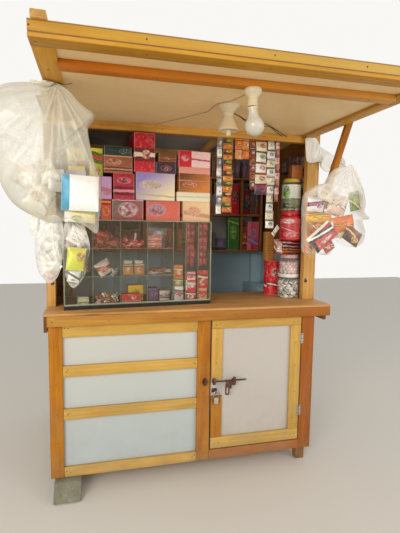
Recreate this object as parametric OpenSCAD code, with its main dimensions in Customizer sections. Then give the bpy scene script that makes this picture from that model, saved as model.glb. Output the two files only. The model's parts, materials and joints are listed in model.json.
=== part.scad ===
// Street kiosk of varnished boards and white sheet, with a serving counter,
// a flap propped open over it, a door under the counter and its stock.
// X runs along the front from left to right, Y from the front to the back,
// Z up from the ground. Lengths are millimetres.

/* [Cabinet] */
// Width of the cabinet over its side walls
cab_w = 1625; // [1400:5:1900]
// Depth of the kiosk from the front boards to the back boards
body_d = 1150; // [1000:10:1400]
// Height of the cabinet's underside above the ground
foot_h = 88; // [60:1:140]
// Height of the counter's top above the ground
counter_h = 1048; // [1000:2:1120]
// Thickness of the counter board
counter_t = 15; // [12:1:24]
// Depth of the counter board from its front edge
counter_d = 578; // [540:2:620]
// Overhang of the counter past the cabinet on the left
over_l = 23; // [22:1:30]
// Overhang of the counter past the cabinet on the right
over_r = 93; // [40:1:96]
// Height of the fascia board under the counter's edge
fascia_h = 58; // [45:1:64]
// Thickness of the fascia board, by which the counter stands proud
fascia_t = 30; // [25:1:36]

/* [Boards] */
// Thickness of the outside boards
trim_t = 20; // [16:1:22]
// Thickness of the white sheets
sheet_t = 6; // [4:1:8]
// Side of the square frame timbers
frame_s = 50; // [40:1:56]
// Width of a leg along the front
leg_w = 60; // [50:1:70]
// Width of the left front stile
stile_l_w = 75; // [66:1:90]
// Left edge of the middle stile
stile_m_x = 848; // [800:1:880]
// Width of the middle stile
stile_m_w = 82; // [70:1:90]
// Width of the right front stile
stile_r_w = 86; // [70:1:110]
// Width of the middle rails across the white front
rail_w = 64; // [50:1:80]
// Width of the bottom rail
foot_rail_w = 60; // [50:1:62]
// Width of the top rail, partly behind the fascia
top_rail_w = 75; // [74:1:80]
// Height of the lower middle rail above the cabinet's underside
rail_1_z = 340; // [280:1:380]
// Height of the upper middle rail above the cabinet's underside
rail_2_z = 590; // [540:1:640]
// Width of the boards on the side and back walls
wall_board_w = 75; // [60:1:85]
// Thickness of the floor boards
floor_t = 14; // [10:1:18]
// Open joint between boards of one set
joint_gap = 0.3; // [0.2:0.1:0.6]

/* [Upper walls] */
// Distance from the front boards back to the posts
post_y = 181; // [150:1:210]
// Width of the left post
post_l_w = 51; // [45:1:60]
// Depth of the left post
post_l_d = 90; // [80:1:100]
// Width of the right post
post_r_w = 87; // [75:1:95]
// Depth of the right post
post_r_d = 50; // [40:1:60]
// Height of the opening between the counter and the header
opening_h = 1044; // [1010:2:1090]
// Height of the header board
header_h = 88; // [86:1:110]
// Thickness of the header
header_t = 50; // [40:1:60]
// Fall of the roof from the header to the back wall
roof_fall = 60; // [20:5:90]
// Height of the rafters
rafter_h = 50; // [40:1:60]
// Overhang of the roof at its sides
roof_side = 30; // [10:2:50]
// Overhang of the roof at the back
roof_back = 50; // [20:2:70]

/* [Flap] */
// Width of the flap
flap_w = 1608; // [1560:1:1625]
// Left edge of the flap from the cabinet's left side
flap_x = 48; // [40:1:60]
// Reach of the flap in front of the posts
flap_d = 1088; // [900:2:1200]
// Height of the flap's underside above the header's underside
flap_lift = 31; // [18:1:42]
// Thickness of the trim boards under the flap
flap_trim_t = 15; // [12:1:18]
// Width of the trim boards under the flap
flap_trim_w = 78; // [60:1:90]
// Thickness of the flap's sheets
flap_sheet_t = 3; // [3:1:4]
// Height of the flap's frame timbers
flap_frame_h = 34; // [30:1:35]
// Width of the flap's frame timbers
flap_frame_w = 42; // [35:1:50]
// Distance from the flap's front edge to its cross rail
cross_rail_y = 195; // [150:1:260]
// Width of the cross rail
cross_rail_w = 55; // [40:1:75]
// Depth of the cross rail below the white sheet
cross_rail_t = 30; // [24:1:40]
// Width of the battens on top of the flap
batten_w = 50; // [40:1:59]
// Height of the battens on top of the flap
batten_h = 26; // [20:1:28]
// Overhang of the battens past the flap's front
batten_over = 12; // [6:1:20]
// Width of a strut
strut_w = 38; // [30:1:45]
// Thickness of a strut
strut_t = 26; // [20:1:32]
// Height of a strut's foot above the counter
strut_foot = 423; // [400:1:600]
// Distance from the posts to a strut's head
strut_reach = 391; // [330:1:430]

/* [Door] */
// Gap between the door and the middle stile
door_gap_l = 9; // [7:0.5:12]
// Gap between the door and the right stile
door_gap_r = 6; // [6:0.5:8]
// Gap above and below the door
door_gap_z = 6; // [5:0.5:8]
// Thickness of the boards on the door
door_trim_t = 16; // [12:1:16]
// Thickness of the door's sheet
door_sheet_t = 5; // [3:0.5:5]
// Width of the door's left boards
door_left_w = 70; // [50:1:74]
// Width of the door's right board
door_right_w = 72; // [60:1:85]
// Width of the door's top board
door_top_w = 54; // [40:1:60]
// Width of the door's bottom board
door_bottom_w = 72; // [60:1:85]
// Height of the gap in the door's left boards, where the bolt sits
lock_gap_h = 106; // [90:1:120]
// Height of the bolt above the cabinet's underside
bolt_z = 502; // [470:1:520]

/* [Fittings] */
// Radius of a hinge's knuckles
knuckle_r = 4.5; // [3.5:0.1:5]
// Radius of a hinge's pin
hinge_pin_r = 2; // [1.5:0.1:2.5]
// Length of a hinge
hinge_l = 65; // [50:5:90]
// Width of one hinge leaf
leaf_w = 13; // [10:1:20]
// Thickness of a hinge leaf
leaf_t = 2; // [1.5:0.1:2.5]
// Radius of the bolt's rod
rod_r = 5; // [4:0.1:5.5]
// Length of the bolt's rod
rod_l = 219; // [200:1:240]
// Travel of the bolt
bolt_travel = 70; // [60:1:72]
// Width of the padlock
padlock_w = 44; // [36:1:46]
// Height of the padlock's body
padlock_h = 46; // [36:1:50]
// Thickness of the padlock's body
padlock_t = 14; // [12:1:16]

/* [Display case] */
// Width of the glass case
case_w = 880; // [780:5:900]
// Depth of the glass case
case_d = 330; // [280:5:360]
// Height of the glass case
case_h = 515; // [460:5:560]
// Turn of the case on the counter
case_turn = 4.6; // [0:0.2:6]
// Thickness of the glass
glass_t = 4; // [3:0.5:6]
// Height of the case's base
case_base_h = 22; // [16:1:30]
// Number of wide bays with shelves, from the left
case_bays = 4; // [3:1:5]
// Number of narrow bays without shelves, at the right
case_slots = 3; // [2:1:4]
// Width of a narrow bay
case_slot_w = 80; // [60:1:90]
// Number of shelf heights in the case
case_rows = 3; // [2:1:4]

/* [Back shelves] */
// Depth of the shelf unit
shelf_d = 210; // [160:5:260]
// Thickness of its boards
shelf_t = 15; // [12:1:20]
// Height of its lowest board above the counter
shelf_z = 279; // [200:1:320]
// Clear height of one cell
cell_h = 281; // [240:1:290]
// Rows of cells
cell_rows = 2; // [1:1:2]
// Columns of wide cells
cell_cols = 5; // [3:1:6]
// Clear width of the narrow cell at the right end
last_cell_w = 158; // [120:2:200]

/* [Lamps] */
// Radius of the bulb's globe
bulb_r = 41; // [30:1:45]
// Distance of the front lamp from the flap's left edge
lamp_x = 851; // [700:1:1000]
// Share of the way from the front lampholder to the posts at which the rear one sits
lamp_share = 0.417; // [0.38:0.001:0.44]
// Distance of the rear lampholder to the right of the front one
lamp_side = 11; // [0:1:40]
// Lean of the bulb to the right, in degrees
bulb_lean = 7.5; // [0:0.5:12]

/* [Hidden] */
$fn = 48;

// Levels and faces that several pieces share
counter_z = counter_h - counter_t;
fascia_z = counter_z - fascia_h;
frame_in = trim_t + sheet_t;
bearer_top = foot_h + foot_rail_w;
floor_z = bearer_top - floor_t;
x_left = -over_l;
x_right = cab_w + over_r;
open_x0 = stile_m_x + stile_m_w;
open_x1 = cab_w - stile_r_w;
post_in_l = x_left + post_l_w;
post_in_r = x_right - post_r_w;
header_z = counter_h + opening_h;
header_top = header_z + header_h;
flap_z = header_z + flap_lift;
flap_front = post_y - flap_d;
flap_right = flap_x + flap_w;
flap_sheet_z = flap_z + flap_trim_t;
flap_frame_z = flap_sheet_z + flap_sheet_t;
flap_cover_z = flap_frame_z + flap_frame_h;
flap_top = flap_cover_z + flap_sheet_t;
rail_y0 = flap_front + cross_rail_y;
wall_in = trim_t;
back_in = body_d - trim_t - sheet_t;
mid_board_z = 510;
lining_t = 12;
lining_y = back_in - lining_t;

// Struts: where they stand, how steep they rise and their front face at a height
strut_foot_z = counter_h + strut_foot;
strut_slope = (flap_cover_z - strut_foot_z) / strut_reach;
strut_step = strut_t * sqrt(1 + strut_slope * strut_slope);
function strut_face(z) = post_y - (z - strut_foot_z + strut_step) / strut_slope;

// Plan reach of the whole kiosk, from which its middle is worked out
bag_l_reach = 172;
bag_r_reach = 78;
x_low = x_left - bag_l_reach;
x_high = x_right + bag_r_reach;
y_low = flap_front - batten_over;
y_high = body_d + roof_back;

// Door and its fittings
door_x0 = open_x0 + door_gap_l;
door_x1 = open_x1 - door_gap_r;
door_z0 = foot_h + foot_rail_w + door_gap_z;
door_z1 = fascia_z - door_gap_z;
pin_x = open_x1 - door_gap_r / 2;
pin_y = -(knuckle_r + 0.5);
hinge_play = 0.5;
hinge_low = 198;
hinge_high = 141;
hinge_zs = [door_z0 + hinge_low, door_z1 - hinge_high];
rod_y = -12;
rod_z = foot_h + bolt_z;
rod_tip = door_x0 + 1;
eye_t = 9;
eye_r = 12;
eye_bore = rod_r + 0.4;
keeper_bore = rod_r + 2.5;
front_eye_x = door_x0 + 14;
rear_eye_x = door_x0 + 140;
tongue_x = door_x0 + 80;
tongue_y = -32;
tongue_t = 3;
staple_x = door_x0 + 24;
staple_z = rod_z - 65;
staple_r = 2.8;
shackle_r = 3.2;

// Soft wires between the lamps and the header, from point to point
front_lamp = [flap_x + lamp_x, rail_y0 + cross_rail_w / 2, flap_sheet_z - cross_rail_t];
rear_lamp = [front_lamp[0] + lamp_side, front_lamp[1] + lamp_share * (post_y - front_lamp[1]), flap_sheet_z];

// Each point is an offset to the right of its lamp, a share of the distance
// from the lamp back to the header, and an offset up
flex_r = 2.2;
lead_r = 1.8;
curve_steps = 5;
lead_lift = cross_rail_t - lead_r - 0.6;
flex_far = post_y - rear_lamp[1];
lead_far = post_y - front_lamp[1];
function route(lamp, far, list) = [for (p = list) lamp + [p[0], p[1] * far, p[2]]];
flex_points = route(rear_lamp, flex_far, [[30, 0.002, -36], [69, 0.04, -45], [130, 0.159, -50],
    [288, 0.442, -30], [372, 0.64, -8], [448, 0.799, -6], [565, 0.9964, -17]]);
core_points = route(rear_lamp, flex_far, [[30, 0.017, -36], [70, 0.056, -40], [131, 0.167, -42],
    [288, 0.442, -16], [375, 0.661, -6.6], [440, 0.817, -8], [526, 0.9967, -13]]);
lead_points = route(front_lamp, lead_far, [[0, 0.045, -10], [6, 0.0745, 4], [16, 0.132, 26],
    [26, 0.207, lead_lift], [13, 0.271, lead_lift], [-6, 0.329, lead_lift], [-35, 0.363, lead_lift],
    [-55, 0.4154, lead_lift], [-58, 0.467, lead_lift], [-61, 0.56, lead_lift],
    [-91, 0.628, lead_lift], [-123, 0.688, lead_lift], [-156, 0.75, lead_lift],
    [-190, 0.819, lead_lift], [-227, 0.879, lead_lift], [-265, 0.949, lead_lift],
    [-293, 0.9987, lead_lift]]);

module block(lo, hi) {
    translate(lo) cube(hi - lo);
}

// A slab whose outline is given in Y and Z, from one X to another
module side_slab(points, x0, x1) {
    translate([x0, 0, 0])
        rotate([90, 0, 90])
            linear_extrude(x1 - x0) polygon(points);
}

// The plan's middle is put over the origin
module place() {
    translate([-(x_low + x_high) / 2, -(y_low + y_high) / 2, 0]) children();
}

function roof_z(y) = header_top - (y - post_y) * roof_fall / (back_in - post_y);

// Top of a wall that follows the roof's fall
function wall_top(y) = roof_z(y) - joint_gap;

light_wood = [0.83, 0.64, 0.34];
orange_wood = [0.76, 0.45, 0.16];
brown_wood = [0.55, 0.30, 0.14];
white_sheet = [0.87, 0.87, 0.85];
steel = [0.62, 0.60, 0.56];
rust = [0.42, 0.24, 0.16];

// Legs at the corners and the post behind the middle stile
module corner_posts() {
    y0 = frame_in;
    y1 = back_in - lining_t - frame_s;
    x0 = frame_in;
    x1 = cab_w - frame_in - leg_w;
    color(brown_wood) place() {
        block([x0, y0, foot_h], [x0 + leg_w, y0 + frame_s, counter_z]);
        block([x1, y0, 0], [x1 + leg_w, y0 + frame_s, counter_z]);
        block([x0, y1, 0], [x0 + leg_w, y1 + frame_s, counter_z]);
        block([x1, y1, 0], [x1 + leg_w, y1 + frame_s, counter_z]);
        block([stile_m_x + 12, y0, bearer_top],
            [stile_m_x + 12 + frame_s, y0 + frame_s, counter_z]);
    }
}

// Broken concrete block under the front left corner
module stone_block() {
    profile = [[-115, 0], [-96, 52], [-42, foot_h], [150, foot_h], [172, 34], [165, 0]];
    color([0.68, 0.67, 0.63]) place() side_slab(profile, 22, 168);
}

module floor_frame() {
    x0 = frame_in + leg_w;
    x1 = cab_w - frame_in - leg_w;
    y0 = frame_in;
    y1 = back_in - lining_t - frame_s;
    color(light_wood) place() {
        block([x0, y0, foot_h], [x1, y0 + frame_s, bearer_top]);
        block([x0, y1, foot_h], [x1, y1 + frame_s, bearer_top]);
        block([frame_in, y0 + frame_s, foot_h], [frame_in + frame_s, y1, floor_z]);
        block([cab_w - frame_in - frame_s, y0 + frame_s, foot_h],
            [cab_w - frame_in, y1, floor_z]);
    }
}

module floor_boards() {
    y0 = frame_in + frame_s;
    y1 = back_in - lining_t - frame_s;
    color(light_wood) place()
        block([frame_in, y0, floor_z], [cab_w - frame_in, y1, bearer_top]);
}

module front_stiles() {
    color(orange_wood) place() {
        block([0, 0, foot_h], [stile_l_w, trim_t, counter_z]);
        block([stile_m_x, 0, foot_h], [open_x0, trim_t, counter_z]);
        block([open_x1, 0, foot_h], [cab_w, trim_t, counter_z]);
    }
}

module front_rails() {
    top_z = fascia_z + 6 - top_rail_w;
    color(light_wood) place()
        for (r = [[foot_h, foot_rail_w], [foot_h + rail_1_z, rail_w],
                [foot_h + rail_2_z, rail_w], [top_z, top_rail_w]])
            block([stile_l_w, 0, r[0]], [stile_m_x, trim_t, r[0] + r[1]]);
}

module door_sill() {
    color(brown_wood) place()
        block([open_x0, 0, foot_h], [open_x1, trim_t, foot_h + foot_rail_w]);
}

module front_panel() {
    color(white_sheet) place()
        block([wall_in, trim_t, foot_h], [open_x0 - 4, trim_t + sheet_t, counter_z]);
}

// One outside board frame on a lower side wall, its outer face at x
module lower_side_boards(x) {
    y0 = trim_t;
    y1 = body_d - trim_t;
    z1 = counter_z;
    block([x, y0, foot_h], [x + trim_t, y0 + wall_board_w, z1]);
    block([x, y1 - wall_board_w, foot_h], [x + trim_t, y1, z1]);
    for (z = [foot_h, foot_h + rail_1_z, foot_h + rail_2_z, z1 - wall_board_w])
        block([x, y0 + wall_board_w + joint_gap, z],
            [x + trim_t, y1 - wall_board_w - joint_gap, z + wall_board_w]);
}

// One outside board frame on an upper side wall, its outer face at x
module upper_side_boards(x, y0) {
    w = wall_board_w;
    y1 = body_d - trim_t;
    y2 = y1 - w;
    y3 = y2 - joint_gap;
    side_slab([[y2, counter_h], [y1, counter_h], [y1, wall_top(y1)], [y2, wall_top(y2)]],
        x, x + trim_t);
    for (z = [counter_h, counter_h + mid_board_z])
        block([x, y0 + joint_gap, z], [x + trim_t, y3, z + w]);
    side_slab([[y0 + joint_gap, wall_top(y0) - w], [y3, wall_top(y2) - w],
        [y3, wall_top(y2)], [y0 + joint_gap, wall_top(y0)]], x, x + trim_t);
}

// Boards over the sheets of the side and back walls
module wall_trims() {
    y0 = body_d - trim_t;
    z1 = roof_z(y0);
    mid = (x_left + x_right) / 2;
    w = wall_board_w;
    color(light_wood) place() {
        lower_side_boards(0);
        lower_side_boards(cab_w - trim_t);
        upper_side_boards(x_left, post_y + post_l_d);
        upper_side_boards(x_right - trim_t, post_y + post_r_d);
        for (x = [x_left, mid - w / 2, x_right - w])
            block([x, y0 + joint_gap, counter_h], [x + w, body_d, z1 - roof_fall * 0.04]);
        for (x = [0, mid - w / 2, cab_w - w])
            block([x, y0 + joint_gap, foot_h], [x + w, body_d, counter_h - joint_gap]);
        for (z = [foot_h, foot_h + rail_1_z, foot_h + rail_2_z, counter_z - w]) {
            block([w + joint_gap, y0, z], [mid - w / 2 - joint_gap, body_d, z + w]);
            block([mid + w / 2 + joint_gap, y0, z], [cab_w - w - joint_gap, body_d, z + w]);
        }
        for (z = [counter_h, counter_h + mid_board_z, z1 - w - 6]) {
            block([x_left + w + joint_gap, y0, z], [mid - w / 2 - joint_gap, body_d, z + w]);
            block([mid + w / 2 + joint_gap, y0, z], [x_right - w - joint_gap, body_d, z + w]);
        }
    }
}

module side_panels() {
    y0 = frame_in;
    y1 = back_in;
    color(white_sheet) place() {
        block([wall_in, y0, foot_h], [frame_in, y1, counter_z]);
        block([cab_w - frame_in, y0, foot_h], [cab_w - wall_in, y1, counter_z]);
    }
}

// White sheet of the back wall, wider above the counter
module back_panel() {
    y1 = body_d - trim_t;
    color(white_sheet) place() {
        block([wall_in, back_in, foot_h], [cab_w - wall_in, y1, counter_h - joint_gap]);
        block([x_left + trim_t, back_in, counter_h],
            [x_right - trim_t, y1, wall_top(y1)]);
    }
}

// Blue-grey boards that line the back wall inside
module back_lining() {
    boards = 4;
    x0 = x_left + frame_in + frame_s;
    step = (cab_w - frame_in - x0) / boards;
    color([0.42, 0.48, 0.54]) place()
        for (i = [0:boards - 1])
            block([x0 + i * step + joint_gap, lining_y, bearer_top],
                [x0 + (i + 1) * step - joint_gap, back_in, counter_h + shelf_z - joint_gap]);
}

module counter_board() {
    color(orange_wood) place()
        block([x_left, -fascia_t, counter_z], [x_right, counter_d - fascia_t, counter_h]);
}

module counter_fascia() {
    color(orange_wood) place()
        block([x_left + trim_t, -fascia_t, fascia_z], [x_right, 0, counter_z]);
}

// Boards along the sides that carry the counter's overhang and the upper walls
module side_bearers() {
    bearer_h = 95;
    sill_w = 104;
    y0 = counter_d - fascia_t;
    y1 = body_d - trim_t;
    z1 = counter_z - joint_gap;
    color(brown_wood) place() {
        block([x_left, 0, z1 - bearer_h], [x_left + trim_t, y1, z1]);
        block([x_right - trim_t, trim_t, z1 - bearer_h], [x_right, y1, z1]);
        block([x_left, y0, counter_z], [x_left + sill_w, lining_y, counter_h]);
        block([x_right - sill_w - over_r + over_l, y0, counter_z], [x_right, lining_y, counter_h]);
    }
}

// Front posts on the counter and back posts on the side bearers
module upper_posts() {
    y1 = back_in - frame_s;
    z1 = wall_top(back_in);
    yl = post_y + post_l_d;
    yr = post_y + post_r_d;
    color(orange_wood) place() {
        block([x_left, post_y, counter_h], [post_in_l, yl, wall_top(yl)]);
        block([post_in_r, post_y, counter_h], [x_right, yr, wall_top(yr)]);
        block([x_left + trim_t + sheet_t, y1, counter_h],
            [x_left + trim_t + sheet_t + frame_s, back_in, z1]);
        block([x_right - trim_t - sheet_t - frame_s, y1, counter_h],
            [x_right - trim_t - sheet_t, back_in, z1]);
    }
}

module header() {
    color(orange_wood) place()
        block([post_in_l, post_y, header_z], [post_in_r, post_y + header_t, wall_top(post_y + header_t)]);
}

// Board linings of the upper side walls
module upper_side_panels() {
    y1 = back_in;
    ya = post_y + post_l_d;
    yb = post_y + post_r_d;
    color(light_wood) place() {
        side_slab([[ya, counter_h], [y1, counter_h], [y1, wall_top(y1)], [ya, wall_top(ya)]],
            x_left + trim_t, x_left + trim_t + sheet_t);
        side_slab([[yb, counter_h], [y1, counter_h], [y1, wall_top(y1)], [yb, wall_top(yb)]],
            x_right - trim_t - sheet_t, x_right - trim_t);
    }
}

// Rafters from the header to the back wall
module roof_frame() {
    rafters = 4;
    rafter_w = 40;
    y0 = post_y - 20;
    y1 = body_d + roof_back - 10;
    span = x_right - x_left - rafter_w;
    color(light_wood) place()
        for (i = [0:rafters - 1]) {
            x = x_left + span * i / (rafters - 1);
            side_slab([[y0, roof_z(y0)], [y1, roof_z(y1)], [y1, roof_z(y1) + rafter_h],
                [y0, roof_z(y0) + rafter_h]], x, x + rafter_w);
            // Block between two rafters on top of the back wall
            if (i < rafters - 1)
                side_slab([[back_in, roof_z(back_in)], [body_d - trim_t, roof_z(body_d - trim_t)],
                    [body_d - trim_t, roof_z(body_d - trim_t) + rafter_h],
                    [back_in, roof_z(back_in) + rafter_h]],
                    x + rafter_w + joint_gap, x + span / (rafters - 1) - joint_gap);
        }
}

module roof_panel() {
    y0 = post_y - 40;
    y1 = body_d + roof_back;
    t = 5;
    lift = rafter_h + joint_gap;
    color([0.70, 0.72, 0.72]) place()
        side_slab([[y0, roof_z(y0) + lift], [y1, roof_z(y1) + lift],
            [y1, roof_z(y1) + lift + t], [y0, roof_z(y0) + lift + t]],
            x_left - roof_side, x_right + roof_side);
}

// Timber frame of the flap
module flap_frame() {
    z0 = flap_frame_z;
    z1 = flap_cover_z;
    w = flap_frame_w;
    color(orange_wood) place() {
        block([flap_x, flap_front, z0], [flap_right, flap_front + w, z1]);
        block([flap_x, post_y - w, z0], [flap_right, post_y, z1]);
        for (x = [flap_x, flap_x + (flap_w - w) / 2, flap_right - w])
            block([x, flap_front + w + joint_gap, z0], [x + w, post_y - w - joint_gap, z1]);
    }
}

// Boards round the flap's underside
module flap_trims() {
    w = flap_trim_w;
    color(light_wood) place() {
        block([flap_x, flap_front, flap_z], [flap_right, flap_front + w, flap_sheet_z]);
        for (x = [flap_x, flap_right - w])
            block([x, flap_front + w + joint_gap, flap_z], [x + w, post_y, flap_sheet_z]);
    }
}

module flap_cross_rail() {
    w = flap_trim_w + joint_gap;
    color(orange_wood) place()
        block([flap_x + w, rail_y0, flap_sheet_z - cross_rail_t],
            [flap_right - w, rail_y0 + cross_rail_w, flap_sheet_z]);
}

module flap_sheet() {
    inset = 2;
    color(white_sheet) place()
        block([flap_x + inset, flap_front + inset, flap_sheet_z],
            [flap_right - inset, post_y, flap_frame_z]);
}

module flap_cover() {
    color([0.70, 0.72, 0.72]) place()
        block([flap_x, flap_front, flap_cover_z], [flap_right, post_y, flap_top]);
}

module flap_battens() {
    inset = 10;
    y1 = post_y - 60;
    color(light_wood) place()
        for (x = [flap_x + inset, flap_right - inset - batten_w])
            block([x, flap_front - batten_over, flap_top], [x + batten_w, y1, flap_top + batten_h]);
}

// One prop from a post's front face to the flap's edge, its inner side at x
module strut(x) {
    side_slab([[post_y, strut_foot_z - strut_step], [post_y, strut_foot_z],
        [post_y - strut_reach, flap_cover_z], [strut_face(flap_cover_z), flap_cover_z]],
        x, x + strut_w);
}

module struts() {
    color(orange_wood) place() {
        strut(flap_right);
        strut(flap_x - strut_w);
    }
}

module door_sheet() {
    color(white_sheet) place()
        block([door_x0, door_trim_t, door_z0], [door_x1, door_trim_t + door_sheet_t, door_z1]);
}

module door_rails() {
    color(light_wood) place() {
        block([door_x0, 0, door_z0], [door_x1, door_trim_t, door_z0 + door_bottom_w]);
        block([door_x0, 0, door_z1 - door_top_w], [door_x1, door_trim_t, door_z1]);
    }
}

module door_stiles() {
    z0 = door_z0 + door_bottom_w;
    z1 = door_z1 - door_top_w;
    gap_z1 = rod_z + 8;
    gap_z0 = gap_z1 - lock_gap_h;
    color(light_wood) place() {
        block([door_x0, 0, z0], [door_x0 + door_left_w, door_trim_t, gap_z0]);
        block([door_x0, 0, gap_z1], [door_x0 + door_left_w, door_trim_t, z1]);
        block([door_x1 - door_right_w, 0, z0], [door_x1, door_trim_t, z1]);
    }
}

// Knuckles of one leaf: every second one of five, at the pin's place
module knuckles(first, last_index) {
    pitch = hinge_l / 5;
    for (i = [first:2:last_index])
        translate([pin_x, pin_y, i * pitch + hinge_play / 2])
            cylinder(r = knuckle_r, h = pitch - hinge_play);
}

// One leaf with its knuckles, on the side that way says
module leaf(first, last_index, way) {
    pitch = hinge_l / 5;
    reach = knuckle_r + 0.8;
    x0 = way > 0 ? pin_x + reach : pin_x - leaf_w;
    x1 = way > 0 ? pin_x + leaf_w : pin_x - reach;
    block([x0, -leaf_t, 0], [x1, 0, hinge_l]);
    knuckles(first, last_index);
    for (i = [first:2:last_index])
        block([min(pin_x, x0), -leaf_t, i * pitch + hinge_play / 2],
            [max(pin_x, x1), 0, (i + 1) * pitch - hinge_play / 2]);
}

module hinge_frame_leaves() {
    color(steel) place()
        for (z = hinge_zs)
            translate([0, 0, z - hinge_l / 2]) {
                difference() {
                    leaf(0, 4, 1);
                    translate([pin_x, pin_y, -1]) cylinder(r = hinge_pin_r, h = hinge_l + 2);
                }
                translate([pin_x, pin_y, -1]) cylinder(r = hinge_pin_r, h = hinge_l + 2);
            }
}

module hinge_door_leaves() {
    color(steel) place()
        for (z = hinge_zs)
            translate([0, 0, z - hinge_l / 2])
                difference() {
                    leaf(1, 3, -1);
                    translate([pin_x, pin_y, -1]) cylinder(r = hinge_pin_r + 0.1, h = hinge_l + 2);
                }
}

// A ring round the bolt's rod, t thick, stretched upright by tall each way
module eye_ring(x, r, bore, t, tall) {
    translate([x - t / 2, rod_y, rod_z]) rotate([0, 90, 0])
        difference() {
            hull()
                for (d = [-tall, tall])
                    translate([d, 0, 0]) cylinder(r = r, h = t);
            translate([0, 0, -1]) cylinder(r = bore, h = t + 2);
        }
}

// Eyes that guide the rod, and the staple that takes the padlock
module bolt_fittings() {
    shank_r = 4;
    leg = 8;
    front_eye_t = 14;
    front_eye_tall = 8;
    plate_w = 34;
    plate_h = 26;
    plate_t = 2;
    front = tongue_y + tongue_t + 5 + staple_r;
    color(rust) place() {
        eye_ring(front_eye_x, eye_r, eye_bore, front_eye_t, front_eye_tall);
        eye_ring(rear_eye_x, eye_r, eye_bore, eye_t, 0);
        for (x = [front_eye_x, rear_eye_x])
            translate([x, door_trim_t, rod_z]) rotate([90, 0, 0])
                cylinder(r = shank_r, h = door_trim_t - rod_y - eye_r + 2);
        for (dz = [-leg, leg])
            translate([staple_x, door_trim_t, staple_z + dz]) rotate([90, 0, 0])
                cylinder(r = staple_r, h = door_trim_t - front - leg);
        translate([staple_x, front + leg, staple_z]) rotate([90, 0, -90])
            rotate([0, 0, -90]) rotate_extrude(angle = 180) translate([leg, 0]) circle(r = staple_r);
        block([staple_x - plate_w / 2, door_trim_t - plate_t, staple_z - plate_h / 2],
            [staple_x + plate_w / 2, door_trim_t, staple_z + plate_h / 2]);
    }
}

// Outline of the tongue: a plate, a slotted arm below its left end, a lug
// beside the arm, and an open loop above its right end that serves as handle
module tongue_outline() {
    arm_w = 28;
    arm_low = 83;
    arm_round = 8;
    arm_slot_w = 11;
    arm_slot_top = 36;
    arm_slot_low = 74;
    plate_x = 4;
    plate_w = 63;
    plate_up = 3;
    plate_down = 24;
    loop_x = 47;
    loop_w = 21;
    loop_up = 30;
    loop_slot_w = 8;
    lug_w = 13;
    lug_low = 44;
    difference() {
        union() {
            translate([plate_x, -plate_down]) square([plate_w, plate_up + plate_down]);
            hull() {
                translate([0, -plate_down - 1]) square([arm_w, 1 + plate_down / 2]);
                for (x = [arm_round, arm_w - arm_round])
                    translate([x, -arm_low + arm_round]) circle(r = arm_round);
            }
            translate([arm_w - 1, -lug_low]) square([lug_w + 1, lug_low - plate_down + 1]);
            hull() {
                translate([loop_x, -plate_down / 2]) square([loop_w, plate_down / 2]);
                translate([loop_x + loop_w / 2, loop_up - loop_w / 2]) circle(r = loop_w / 2);
            }
        }
        hull()
            for (z = [-arm_slot_top - arm_slot_w / 2, -arm_slot_low + arm_slot_w / 2])
                translate([arm_w / 2, z]) circle(r = arm_slot_w / 2);
        hull()
            for (z = [plate_up + 2 + loop_slot_w / 2, loop_up - 8 - loop_slot_w / 2])
                translate([loop_x + loop_w / 2, z]) circle(r = loop_slot_w / 2);
    }
}

// Rod with the slotted tongue that is riveted to it
module bolt_rod() {
    rivet_x = 36;
    color(rust) place() {
        translate([rod_tip, rod_y, rod_z]) rotate([0, 90, 0]) cylinder(r = rod_r, h = rod_l);
        translate([tongue_x + rivet_x, rod_y, rod_z]) rotate([90, 0, 0])
            cylinder(r = rod_r - 1, h = rod_y - tongue_y - tongue_t + 1);
        translate([tongue_x, tongue_y + tongue_t, rod_z]) rotate([90, 0, 0])
            linear_extrude(tongue_t) tongue_outline();
    }
}

// Ring on the middle stile that takes the rod's end
module bolt_keeper() {
    keeper_x = open_x0 - 33;
    keeper_t = 10;
    keeper_tall = 9;
    base_w = 16;
    base_t = 3;
    color(rust) place() {
        eye_ring(keeper_x, -rod_y - 0.5, keeper_bore, keeper_t, keeper_tall);
        difference() {
            block([keeper_x - base_w / 2, -base_t, rod_z - 24], [keeper_x + base_w / 2, 0, rod_z + 24]);
            translate([keeper_x - base_w, rod_y, rod_z]) rotate([0, 90, 0])
                cylinder(r = keeper_bore, h = 2 * base_w);
        }
    }
}

// Padlock hanging from the staple
module padlock() {
    bow = 13;
    aside = 5.5;
    free = bow - shackle_r - staple_r - 0.6;
    x = staple_x + aside;
    y = -2 - padlock_t / 2;
    top = staple_z - 8 - sqrt(free * free - aside * aside) + bow;
    straight = 26;
    color([0.75, 0.72, 0.62]) place() {
        translate([x, y, top - bow]) rotate([90, 0, 0])
            rotate_extrude(angle = 180) translate([bow, 0]) circle(r = shackle_r);
        for (dx = [-bow, bow])
            translate([x + dx, y, top - bow - straight]) cylinder(r = shackle_r, h = straight);
        translate([x, y + padlock_t / 2, top - bow - straight + 4 - padlock_h]) rotate([90, 0, 0])
            linear_extrude(padlock_t)
                hull() {
                    translate([-padlock_w / 2, 14]) square([padlock_w, padlock_h - 14]);
                    translate([-padlock_w / 2 + 8, 0]) square([padlock_w - 16, 1]);
                }
    }
}

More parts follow.
